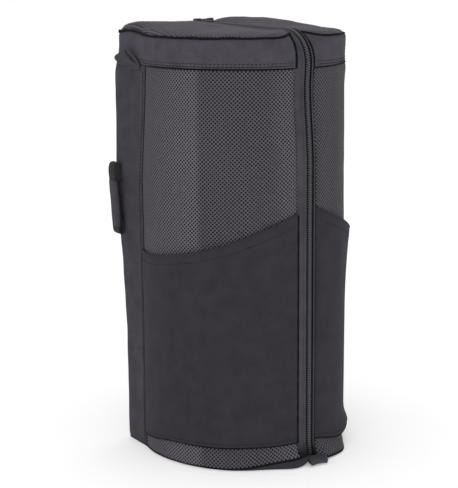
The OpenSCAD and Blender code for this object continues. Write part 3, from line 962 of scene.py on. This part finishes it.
def top_panel(part):
    edge = TAPE_EDGE if part.side < 0 else panel_edge(part.side)
    mapped, length_u, length_v = half_disc(OUTER, edge, top_point)

    def surface(u, v, off):
        return mapped(u, v, off + 0.4)

    def uv_of(u, v):
        p = mapped(u, v, 0)
        return p[..., 0], p[..., 1]

    slab(part, surface, length_u, length_v, CLOTH, edge=2.2, sink=1.2, uv_of=uv_of)
    around = np.linspace(0, length_u, 220)
    seam_shade_cord(part, surface, around, length_v - 0.1, 1.4, 0.5)

    def end_patch(u, v, off):
        """Fabric sewn over the rear end of the zip, down to the back panel."""
        high = ZIP_TOP + 2.4 - 7 * (1 - smooth_step((u + 2) / 9))
        return points_at(0.4 + v, BACK - 0.4 - u, high + off)

    slab(part, end_patch, BACK - ZIP_BACK + 3, panel_edge(part.side) + 1, 1.2, edge=1.0, step=2, slot=2)
    part.build([TOP_MESH, SEAM_SHADE_AND_THREAD, PLAIN], "ribbed_mesh")


def base_panel(part):
    edge = 7.0 if part.side < 0 else panel_edge(part.side)
    mapped, length_u, length_v = half_disc(OUTER, edge, base_point)

    slab(part, mapped, length_u, length_v, THIN_CLOTH, edge=1.5, step=5)
    start = OUTER.at_x(1.5 if part.side < 0 else edge)
    length_turn = OUTER.length - start - FOLD_GAP
    high = 12.0

    def turn_up(u, v, off):
        along = start + u
        z = seam_height(along, part.side) * v / high
        return wall_point(along, z, off + 0.3)

    slab(part, turn_up, length_turn, high, THIN_CLOTH, edge=1.2, step=3, step_v=1.5, sink=0.4)
    # On the left, painted shade along the top of the turned-up base, beside the zip.
    if part.side < 0:
        seam_shade_cord(part, turn_up, np.linspace(0, 90, 60), high, 1.0, 0.3)
    part.build([BASE, SEAM_SHADE_AND_THREAD], "base_fabric")


def pocket_surface(u, v, off, length_u, side):
    """The outer pocket: sewn down at both sides and the bottom, standing open a little at its rim.
    The right-hand one stands out more, at its rim and at its foot."""
    rim_gap, foot_bulge = (6.0, 4.6) if side > 0 else (3.4, 1.6)
    along = wall_start(side) + u
    rim = pocket_rim(along, side)
    bottom = pocket_foot(along, side)
    t = v / POCKET_SHEET
    z = bottom + (rim - bottom) * t
    across = np.clip(u / length_u, 0, 1)
    spread = np.sin(math.pi * across) ** 0.6
    foot = np.exp(-((z - bottom - 3) / 10) ** 2)
    stand = 1.2 + spread * (1.4 + foot_bulge * foot + rim_gap * t ** 4)
    drape = 0.8 * ripple(along * 0.8, z * 0.5, 7) * spread
    return wall_point(along, z, off + stand + drape)


def pocket(part):
    length_u = OUTER.arc - wall_start(part.side)

    def surface(u, v, off):
        return pocket_surface(u, v, off, length_u, part.side)

    slab(part, surface, length_u, POCKET_SHEET, THIN_CLOTH, edge=1.6, edge_v=0.8, sink=0.9)
    us = np.linspace(3, length_u - 3, 160)
    for height in (4.0, POCKET_SHEET - HEM + 1.6):
        stitches(part, surface, us, height, 0.22)
    rise = np.linspace(0, POCKET_SHEET - 2, 110)
    if part.side < 0:
        seam_shade_cord(part, surface, -0.8, rise, 1.0)
    seam_shade_cord(part, surface, length_u, rise, 0.7)
    seam_shade_cord(part, surface, np.linspace(0, length_u, 120), 0.0, 0.9)
    part.build([POCKET, SEAM_SHADE_AND_THREAD], "pocket_fabric")


def pocket_hem(part):
    """The pocket's top edge: a soft roll, with a flat turning behind the pocket."""
    length_u = OUTER.arc - wall_start(part.side)

    def surface(u, v, off):
        return pocket_surface(u, POCKET_SHEET - HEM + v, off - 1.75, length_u, part.side)

    slab(part, surface, length_u, HEM, 1.2, edge=0.9, edge_v=0.5, step_v=2)
    us = np.linspace(0.8, length_u - 0.8, 110)
    roll, out = surface_line(surface, us, HEM - 0.1, 0.85)
    tube(part, roll, 1.05, 8, up=out[len(out) // 2])
    part.build([POCKET], "pocket_fabric")


# ---------------------------------------------------------------- zip


def zip_tape(part):
    inner = TAPE_INNER + 0.6
    width = panel_edge(part.side) + 0.8 - inner
    shown = panel_edge(part.side) - 1.8 - inner

    def surface(u, v, off):
        fold = 0.9 * (1 - smooth_step(v / 3.0))
        tuck = 1.6 * smooth_step((v - shown) / (width - shown))
        return zip_point(u, inner + v, off + 0.4 + fold - tuck)

    slab(part, surface, ZIP.length, width, 1.3, edge=0.8, step=3, step_v=1.2)
    stitches(part, surface, np.linspace(4, ZIP.length - 4, 400), min(3.4, shown), 0.22)
    part.build([TAPE, DARK_THREAD], "zip_tape")


TOOTH_PITCH = 2.5


def zip_coil(part):
    """One side of the coil: a cord along the tape and a row of rounded loops that reach past the middle."""

    def cord(u, v, off):
        return zip_point(u, 0.15 + v, off - 0.3)

    # the cord takes the seam-shade colour: painted shade under and between the teeth
    slab(part, cord, ZIP.length - 4, 5.0, 1.0, edge=0.5, step=3, step_v=1.2, slot=1)
    count = int((ZIP.length - 8) / TOOTH_PITCH)
    shift = TOOTH_PITCH / 2 if part.side < 0 else 0.0
    across = np.array([2.8, 2.6, 1.9, 0.5, -1.1, -1.8])
    lift = np.array([-0.2, 0.4, 0.75, 0.9, 0.7, 0.1])
    girth = np.array([0.45, 0.52, 0.56, 0.58, 0.6, 0.45])
    for i in range(count):
        q = 4 + shift + i * TOOTH_PITCH
        slant = np.array([-0.5, -0.4, -0.15, 0.1, 0.3, 0.4])
        line = zip_point(q + slant, across, lift)
        up = zip_point(q, 0.0, 1.0) - zip_point(q, 0.0, 0.0)
        tube(part, line, girth, 6, up=up)
    part.build([COIL, SEAM_SHADE_AND_THREAD], "zip_coil")


def zip_stops(part):
    for q in (2.0, ZIP.length - 2.0):
        def surface(u, v, off, q=q):
            return zip_point(q - 2 + u, 0.7 + v, off + 1.2)
        slab(part, surface, 4.0, 3.5, 2.5, edge=0.8, step=1.0)
    part.build([METAL], "zip_metal")


# ---------------------------------------------------------------- padding and lining


def inner_point(u, z, off):
    x, y, nx, ny = INNER.at(u)
    return points_at(x + nx * off, y + ny * off, z)


def foam_wall(part):
    depth = WALL - 2.6
    start = OUTER.at_x(TAPE_EDGE + 1)
    length = OUTER.arc + OUTER.straight - start - 6
    inner_start = INNER.at_x(TAPE_EDGE + 1)
    inner_length = INNER.arc + INNER.straight - inner_start - 2

    def surface(u, v, off):
        outside = wall_point(start + u, WALL + v, -2.4)
        inside = inner_point(inner_start + u * inner_length / length, WALL + v, 0.4)
        t = -np.asarray(off)[..., None] / depth
        return outside * (1 - t) + inside * t

    slab(part, surface, length, HEIGHT - 2 * WALL, depth, edge=3, step=8)
    strip = Outline(4.6, 8)
    first = strip.at_x(1.0)
    last = strip.at_x(TAPE_EDGE)

    def flap(u, v, off):
        x, y, nx, ny = strip.at(first + u)
        return np.stack([x + nx * off, y + ny * off, BASE_RECESS + BASE_BEND + 6 + v], -1)

    slab(part, flap, last - first, ZIP.drop - 12, WALL - 5.2, edge=2.5)
    part.build([FOAM], "foam")


def foam_back(part):
    def surface(u, v, off):
        return points_at(1.0 + u, BACK - FOAM_GAP + off, WALL + v)

    slab(part, surface, BACK_HALF_WIDTH - 5, HEIGHT - 2 * WALL, WALL - 2.8, edge=3, step=10)
    part.build([FOAM], "foam")


def foam_layer(part, height, up):
    """Padding of the top or base. The top one is moulded to fill the lobe above it."""
    seat = Outline(3.2, 8)
    depth = WALL - 3.0

    def flat(x, y, off):
        if up < 0:
            return points_at(x, y, height - off)
        skin = top_point(x, y, 0)
        high = skin[..., 2] - 2.8
        low = np.minimum(HEIGHT - WALL + 0.2, high - 1.5)
        return np.stack([skin[..., 0], skin[..., 1], high + (high - low) * off / depth], -1)

    mapped, length_u, length_v = half_disc(seat, TAPE_EDGE + 1, flat)
    slab(part, mapped, length_u, length_v, depth, edge=3, step=8)
    cover_depth = WALL - (4.4 if up > 0 else BASE_RECESS + 4.4)
    bend = TOP_BEND if up > 0 else BASE_BEND + 2
    front = -RADIUS + bend + 4
    sunk = height - up * (WALL - 2.4 - cover_depth)

    def cover(u, v, off):
        return points_at(1.0 + v, front + u, sunk + up * off)

    slab(part, cover, ZIP_BACK - front, TAPE_EDGE, cover_depth, edge=1.5, step=6)
    part.build([FOAM], "foam")


def foam_top(part):
    foam_layer(part, HEIGHT - FOAM_GAP, 1)


def foam_base(part):
    foam_layer(part, FOAM_GAP, -1)


def lining(part):
    start = INNER.at_x(1.0)
    length = INNER.length - start - FOLD_GAP

    def wall(u, v, off):
        quilt = 0.3 * ripple(u, v, 9)
        return inner_point(start + u, WALL + 0.2 + v, off - 0.1 + quilt)

    slab(part, wall, length, HEIGHT - 2 * WALL - 0.4, 1.1, edge=1.2, step=5)
    for height, up in ((HEIGHT - WALL - 0.1, 1), (WALL + 0.1, -1)):
        def flat(x, y, off, height=height, up=up):
            return points_at(x, y, height + up * off)
        mapped, length_u, length_v = half_disc(INNER, 1.0, flat)
        slab(part, mapped, length_u, length_v, 1.1, edge=1.2, step=5)
    part.build([LINING], "lining")


def inner_binding(part):
    """Grosgrain binding over the padding's edge, from the rear of the top round the front to the base."""
    inset = WALL + 1.4
    bend = 7.0
    path = SidePath(ZIP_BACK - 4, -RADIUS + inset, HEIGHT - inset, inset, bend, bend)

    def surface(u, v, off):
        y, z, ny, nz = path.at(u)
        return points_at(0.9 + v, y - ny * off, z - nz * off)

    slab(part, surface, path.length, 8.5, 1.4, edge=0.9, step_v=2)
    stitches(part, surface, np.linspace(4, path.length - 4, 300), 6.0)
    part.build([BINDING, DARK_THREAD], "binding")


def spine():
    """Cloth that joins the two halves outside and inside the fold at the middle of the back."""
    width = 20.0
    fold = [(x / 1000, SPINE_Y / 1000, 0) for x in (-9, 9)]

    def outside(u, v, off):
        return points_at(u - width / 2, BACK + 0.4 + off, 2 + v)

    def inside(u, v, off):
        return points_at(u - width / 2, ZIP_BACK - 0.9 - off, WALL + 1 + v)

    part = Part("spine_cloth", 1)
    slab(part, outside, width, HEIGHT - 5, 1.3, edge=1.5, step=1.5, step_v=6)
    part.build([PLAIN], "plain_fabric", blend=fold)
    part = Part("spine_lining", 1)
    slab(part, inside, width, HEIGHT - 2 * WALL - 2, 1.0, edge=1.2, step=1.0, step_v=6)
    part.build([LINING], "lining", blend=fold)


# ---------------------------------------------------------------- webbing pieces


def smooth_path(points, count):
    """A smooth curve through points, as count points."""
    points = np.asarray(points, float)
    ends = np.concatenate([[2 * points[0] - points[1]], points, [2 * points[-1] - points[-2]]])
    t = np.linspace(0, len(points) - 1, count)
    i = np.minimum(t.astype(int), len(points) - 2)
    f = (t - i)[:, None]
    a, b, c, d = ends[i], ends[i + 1], ends[i + 2], ends[i + 3]
    return b + 0.5 * f * (c - a + f * (2 * a - 5 * b + 4 * c - d + f * (3 * (b - c) + d - a)))


def ribbon(part, path, out, width, thickness, across, step=1.6, rise=0.0):
    """A flat strap: path gives the middle of its outer face, out its outward direction, across its width.
    rise tilts it: its climb for each millimetre across, at each point of the path."""
    distance = length_along(path)
    rise = np.broadcast_to(rise, distance.shape)

    def surface(u, v, off):
        n = unit(follow(u, distance, out))
        p = follow(u, distance, path) + across * (v - width / 2)[..., None] + n * np.asarray(off)[..., None]
        p[..., 2] += np.interp(u, distance, rise) * (v - width / 2)
        return p

    slab(part, surface, distance[-1], width, thickness, edge=thickness * 0.6, step=step, step_v=3)


def frame_at(origin, ahead):
    """A function that turns side-view pairs (ahead, up), or directions, into points in space."""
    def convert(pairs, direction=False):
        spots = pairs[:, :1] * np.array(ahead, float) + pairs[:, 1:] * np.array([0.0, 0.0, 1.0])
        return spots if direction else spots + np.array(origin, float)
    return convert


def loop_path(pairs, convert):
    """Turns a side view into points in space and the directions to its right, by a frame."""
    along = unit(np.gradient(pairs, axis=0))
    normal = np.stack([along[:, 1], -along[:, 0]], -1)
    return convert(pairs), convert(normal, True)


def side_frame(along, height):
    """A frame on the right side strip, and the direction along the strip."""
    at = OUTER.seam + OUTER.side * along
    return frame_at((at[0], at[1], height), (OUTER.out[0], OUTER.out[1], 0)), np.append(OUTER.side, 0.0)


def strap_loop(part):
    """Webbing folded over into a loop and sewn into the band's seam. It leans back and up from its root."""
    convert, across = side_frame(4.5, 430)
    local = smooth_path([(1.6, -10.5), (3.0, -8.2), (6.4, -5.4), (9.4, -1.2), (11.2, 2.6), (11.0, 5.2),
                         (9.2, 5.8), (6.6, 3.4), (3.4, -1.0), (1.6, -5.0), (1.2, -8.5), (1.2, -12.0)], 48)
    path, out = loop_path(local, convert)
    reach = np.clip(local[:, 0] / 11, 0, 1)
    path = path + across * (15 * reach)[:, None]
    ribbon(part, path, out, 17.0, 1.5, across, rise=-0.4 * reach)
    part.build([WEBBING], "webbing")


def grab_handle():
    """A strap bent into a flat D and sewn to the left side strip, with a padded sleeve round its middle."""
    half = 39.0
    convert, across = side_frame(37, 276.5)
    lower = [(1.2, 20), (1.2, 12), (1.6, 5), (3.0, 1.2), (5.4, 0.6), (6.8, 4), (7.0, 12)]
    upper = [(7.6, 18), (8.0, 10), (7.2, 4), (5.0, 0.8), (2.8, 2.6), (1.5, 8), (1.2, 15), (1.2, 22)]
    points = [(x, y - half) for x, y in lower] + [(6.6, -10), (6.8, 10)] + [(x, half - y) for x, y in upper]
    part = Part("grab_handle_webbing", -1, "left_half")
    path, out = loop_path(smooth_path(points, 110), convert)
    ribbon(part, path, -out, 14.0, 1.6, across)
    part.build([SHADED_HANDLE_WEB], "webbing")

    part = Part("grab_handle_grip", -1, "left_half")
    length = 54.0
    girth = 60.0
    normal = np.append(OUTER.out, 0.0)

    def surface(u, v, off):
        turn = v / girth * 2 * math.pi
        height = u - length / 2 - 6
        swell = 1 + 0.1 * np.sin(math.pi * u / length) + 0.04 * ripple(u * 3, v * 3, 6)
        c, s = np.cos(turn), np.sin(turn)
        c = np.sign(c) * np.abs(c) ** 0.7
        s = np.sign(s) * np.abs(s) ** 0.7
        lean = 6.2 + 0.9 * smooth_step((height + 10) / 34)
        middle = convert(np.stack([lean.ravel(), height.ravel()], -1)).reshape(lean.shape + (3,))
        wide = (8.0 + off) * swell
        deep = (2.9 + off) * swell
        return middle + across * (wide * c)[..., None] + normal * (deep * s)[..., None]

    us = np.linspace(0, length, 30)
    vs = np.linspace(0, girth, 33)[:-1]
    u, v = np.meshgrid(us, vs, indexing="ij")
    close = np.clip(np.minimum(u, length - u) / 2.5, 0, 1)
    points = surface(u, v, -2.0 * (1 - np.sqrt(1 - (1 - close) ** 2)))
    m, n = u.shape
    part.add(points, ring_faces(m, n), np.stack([u, v], -1))
    # the half of the sleeve next to the case takes the dark handle webbing: painted shade
    for i in range(m - 1):
        for j in range(n):
            if j > n * 0.46:
                part.slots[i * n + j] = 1
    part.build([GRIP, SHADED_HANDLE_WEB], "grip_fabric")


def fold_end(at, radius, first, last):
    """Side-view points round a fold at distance at, from one angle to another."""
    turns = np.radians(np.linspace(first, last, 9))
    return [(at + radius * math.cos(turn), radius * math.sin(turn)) for turn in turns]


def end_tab():
    """Folded webbing tab sewn into the base seam at the zip's lower end. It lies askew."""
    part = Part("zip_end_tab", 1, "left_half")
    skew = math.radians(27)
    convert = frame_at((7.0, -RADIUS + 2, 4.3), (-math.sin(skew), -math.cos(skew), 0.0))
    across = np.array([math.cos(skew), -math.sin(skew), 0.0])
    reach, fold = 12.6, 2.9
    share = np.linspace(0, 1, 8)
    above = [(s * reach, 2.3 + 0.8 * math.sin(s * math.pi)) for s in share]
    below = [(s * reach, -2.3 - 0.5 * math.sin(s * math.pi)) for s in share[::-1]]
    path, out = loop_path(np.array(above + fold_end(reach, fold, 75, -75) + below), convert)
    ribbon(part, path, -out, 21.0, 1.5, across)
    part.build([TAB], "tab_webbing")


# ---------------------------------------------------------------- slider and pull


def rounded_block(part, low, high, radius, slot=0, segments=3):
    """A block with rounded edges, between two corners."""
    work = bmesh.new()
    bmesh.ops.create_cube(work, size=1.0)
    low, high = np.array(low, float), np.array(high, float)
    for vertex in work.verts:
        vertex.co = Vector((low + high) / 2 + np.array(vertex.co) * (high - low))
    bmesh.ops.bevel(work, geom=work.edges[:], offset=radius, segments=segments, affect="EDGES", profile=0.5)
    work.verts.index_update()
    points = [tuple(v.co) for v in work.verts]
    faces = [tuple(v.index for v in f.verts) for f in work.faces]
    work.free()
    uv = [(p[0], p[1]) for p in points]
    part.add(points, faces, uv, slot)


PIN_HEIGHT = 4.8
PULL_DROOP = -3.4


def slider():
    """The slider stands on the zip's top run. Its pull lies flat on it, towards the back."""
    low, high = box_mm("zip_slider")
    middle = (low[1] + high[1]) / 2
    pivot = np.array([0.0, middle, ZIP_TOP + PIN_HEIGHT])
    part = Part("zip_slider", 1, "zip_slider")
    for z in (ZIP_TOP + 2.7, ZIP_TOP - 2.4):
        rounded_block(part, (-6.5, middle - 8, z), (6.5, middle + 3, z + 1.2), 0.55)
        rounded_block(part, (-5.0, middle - 2, z), (5.0, middle + 8, z + 1.2), 0.55)
    rounded_block(part, (-0.3, middle - 8, ZIP_TOP - 2.0), (0.3, middle - 0.5, ZIP_TOP + 3.4), 0.12)
    for x in (-3.0, 3.0):
        rounded_block(part, pivot + (x - 0.6, -2.2, -1.4), pivot + (x + 0.6, 2.2, 1.6), 0.5)
    tube(part, pivot + points_at(np.linspace(-3.5, 3.5, 6), 0, 0), 1.0, 12)
    part.build([METAL], "zip_metal", soft=False)

    part = Part("zip_pull_eye", 1, "zip_pull")
    turn = np.radians(np.linspace(0, 360, 25)[:-1])
    for x in (-1.4, 0.0, 1.4):
        ring = pivot + points_at(x, 1.5 * np.cos(turn), 1.5 * np.sin(turn))
        tube(part, ring, 0.42, 8, closed=True, up=(1, 0, 0))
    half = np.array([(-1.9, 1.8, 0), (-2.1, 4.5, 0), (-4.6, 6.2, 0), (-4.9, 9.0, 0), (-4.2, 9.9, 0)])
    tube(part, pivot + np.concatenate([half, half[::-1] * [-1, 1, 1]]), 0.62, 8)
    part.tilt(PULL_DROOP, pivot)
    part.build([METAL], "zip_metal", soft=False)

    part = Part("zip_pull_webbing", 1, "zip_pull")
    start = 9.9
    reach = box_mm("zip_pull_webbing")[1][1] - middle
    share = np.linspace(0, 1, 8)
    below = [(reach - 1.0 - s * (reach - 1.0 - start), -1.0) for s in share]
    above = [(start + s * (reach - 1.0 - start), 1.0) for s in share]
    convert = frame_at(pivot, (0, 1, 0))
    path, out = loop_path(np.array(below + fold_end(start, 1.0, -90, -270) + above), convert)
    ribbon(part, path, -out, 8.0, 0.9, np.array([1.0, 0, 0]), step=1.2)
    rounded_block(part, pivot + (-4.6, reach - 5, -1.6), pivot + (4.6, reach, 1.6), 1.1, slot=1)
    part.tilt(PULL_DROOP, pivot)
    part.build([WEBBING, COIL], "webbing", soft=False)


# ---------------------------------------------------------------- inside fittings


def arc_slab(part, radius, from_angle, to_angle, low, high, thickness, edge, wave=0.0, step=4):
    """A slab curved round the case's upright axis, between two angles and two heights."""
    length = radius * math.radians(to_angle - from_angle)

    def surface(u, v, off):
        angle = math.radians(from_angle) + u / radius
        r = radius - off - thickness + wave * ripple(u, v, 11)
        return np.stack([r * np.sin(angle), -r * np.cos(angle), low + v], -1)

    slab(part, surface, length, high - low, thickness, edge=edge, step=step)
    return surface, length


def edge_stitches(part, surface, length, height, inset, count):
    """Two rows of stitches, inset from the long edges of a strap."""
    for v in (inset, height - inset):
        stitches(part, surface, np.linspace(3, length - 3, count), v)


def flat_strap(part, low, high, thickness, edge):
    """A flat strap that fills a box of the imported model. It stands against the back wall."""
    def surface(u, v, off):
        return points_at(-high[0] + u, low[1] - off, low[2] + v)

    slab(part, surface, high[0] - low[0], high[2] - low[2], thickness, edge=edge)
    return surface


def straps():
    """The two ends of the retaining strap, with their hook and loop pads."""
    low, high = box_mm("strap_front_flap")
    radius = RADIUS - 15
    part = Part("strap_front_flap", -1, "strap_front")
    surface, length = arc_slab(part, radius, 3.4, 56, low[2], high[2], 1.5, edge=0.8)
    edge_stitches(part, surface, length, high[2] - low[2], 3, 60)
    part.build([WEBBING, DARK_THREAD], "webbing")
    part = Part("strap_front_hook", -1, "strap_front")
    arc_slab(part, radius - 1.5, 32, 54, low[2] + 3, high[2] - 3, 0.8, edge=0.6)
    part.build([HOOK], "hook_tape")

    low, high = box_mm("strap_rear_flap")
    part = Part("strap_rear_flap", -1, "strap_rear")
    surface = flat_strap(part, low, high, 1.5, 0.8)
    edge_stitches(part, surface, high[0] - low[0], high[2] - low[2], 3, 60)
    part.build([WEBBING, DARK_THREAD], "webbing")
    part = Part("strap_rear_loop", -1, "strap_rear")
    flat_strap(part, *box_mm("strap_rear_loop"), 0.8, 0.6)
    part.build([LOOP], "loop_tape")


def net_pocket():
    """The net pocket inside the right half: its net, side and bottom seams, and hem."""
    low, high = box_mm("inner_mesh_pocket")
    part = Part("inner_mesh_pocket", 1, "right_half")
    arc_slab(part, RADIUS - 15.0, NET_FROM, NET_TO, low[2], high[2], 0.8, edge=0.7, wave=0.5)
    for angle in (NET_FROM, NET_TO - 1):
        arc_slab(part, NET_RADIUS, angle, angle + 1.2, low[2], high[2], 2.4, edge=0.5, step=2)
    arc_slab(part, NET_RADIUS, NET_FROM, NET_TO, low[2], low[2] + 2, 2.6, edge=0.6)
    part.build([NET], "pocket_net")
    low, high = box_mm("inner_pocket_hem")
    part = Part("inner_pocket_hem", 1, "right_half")
    surface, length = arc_slab(part, NET_RADIUS - 1.2, NET_FROM, NET_TO, low[2], high[2], 1.6, edge=0.8)
    edge_stitches(part, surface, length, high[2] - low[2], 2.5, 80)
    part.build([BINDING, DARK_THREAD], "binding")


# ---------------------------------------------------------------- build the case

HALF_PIECES = (wall_mesh, top_band, side_strip, back_panel, top_panel, base_panel, pocket, pocket_hem,
               zip_tape, zip_coil, zip_stops, foam_wall, foam_back, foam_top, foam_base,
               lining, inner_binding, strap_loop)
for half, side in (("left", -1), ("right", 1)):
    for make in HALF_PIECES:
        make(Part(half + "_" + make.__name__, side, half + "_half"))

spine()
grab_handle()
end_tab()
slider()
straps()
net_pocket()


# ---------------------------------------------------------------- floor, light and camera


WHITE = (1, 1, 1, 1)


def studio():
    """An even white surround, a pale floor and one soft lamp at the front left."""
    world = bpy.data.worlds.new("studio")
    world.use_nodes = True
    tree = world.node_tree
    ambient = tree.nodes["Background"]
    set_inputs(ambient, Color=WHITE, Strength=0.86)
    backdrop = tree.nodes.new("ShaderNodeBackground")
    set_inputs(backdrop, Color=WHITE)
    path = tree.nodes.new("ShaderNodeLightPath")
    blend = tree.nodes.new("ShaderNodeMixShader")
    tree.links.new(path.outputs["Is Camera Ray"], blend.inputs[0])
    tree.links.new(ambient.outputs[0], blend.inputs[1])
    tree.links.new(backdrop.outputs[0], blend.inputs[2])
    tree.links.new(blend.outputs[0], tree.nodes["World Output"].inputs[0])
    bpy.context.scene.world = world
    bpy.context.scene.view_settings.view_transform = "Standard"

    floor_mesh = bpy.data.meshes.new("floor")
    reach = 6.0
    corners = [(-reach, -reach, 0), (reach, -reach, 0), (reach, reach, 0), (-reach, reach, 0)]
    floor_mesh.from_pydata(corners, [], [(0, 1, 2, 3)])
    floor = bpy.data.objects.new("floor", floor_mesh)
    material, _, shader = new_material("pale_floor")
    set_inputs(shader, Base_Color=(0.93, 0.93, 0.93, 1), Roughness=0.9, Specular_IOR_Level=0.0,
               Emission_Color=WHITE, Emission_Strength=0.26)
    floor_mesh.materials.append(material)
    bpy.context.scene.collection.objects.link(floor)

    place = Vector((-1.6, -1.5, 0.9))
    light = bpy.data.lights.new("key", "AREA")
    light.size = 1.2
    light.energy = 9
    lamp = bpy.data.objects.new("key", light)
    lamp.location = place
    lamp.rotation_euler = (Vector((0, 0, 0.22)) - place).to_track_quat("-Z", "Y").to_euler()
    bpy.context.scene.collection.objects.link(lamp)


def camera():
    """A long lens that looks at the front from its left, and a little down."""
    azimuth, elevation = math.radians(-38.37), math.radians(11.39)
    roll = math.radians(-0.26)
    distance = 1.654
    target = Vector((0, 0, 0.225))
    away = Vector((math.sin(azimuth) * math.cos(elevation), -math.cos(azimuth) * math.cos(elevation),
                   math.sin(elevation)))
    data = bpy.data.cameras.new("camera")
    data.lens = 110.3
    data.shift_x = -0.0256
    data.shift_y = -0.0044
    made = bpy.data.objects.new("camera", data)
    made.location = target + away * distance
    made.rotation_euler = ((-away).to_track_quat("-Z", "Y").to_matrix().to_4x4()
                           @ Matrix.Rotation(roll, 4, "Z")).to_euler()
    bpy.context.scene.collection.objects.link(made)
    bpy.context.scene.camera = made


studio()
camera()

bpy.context.view_layer.update()
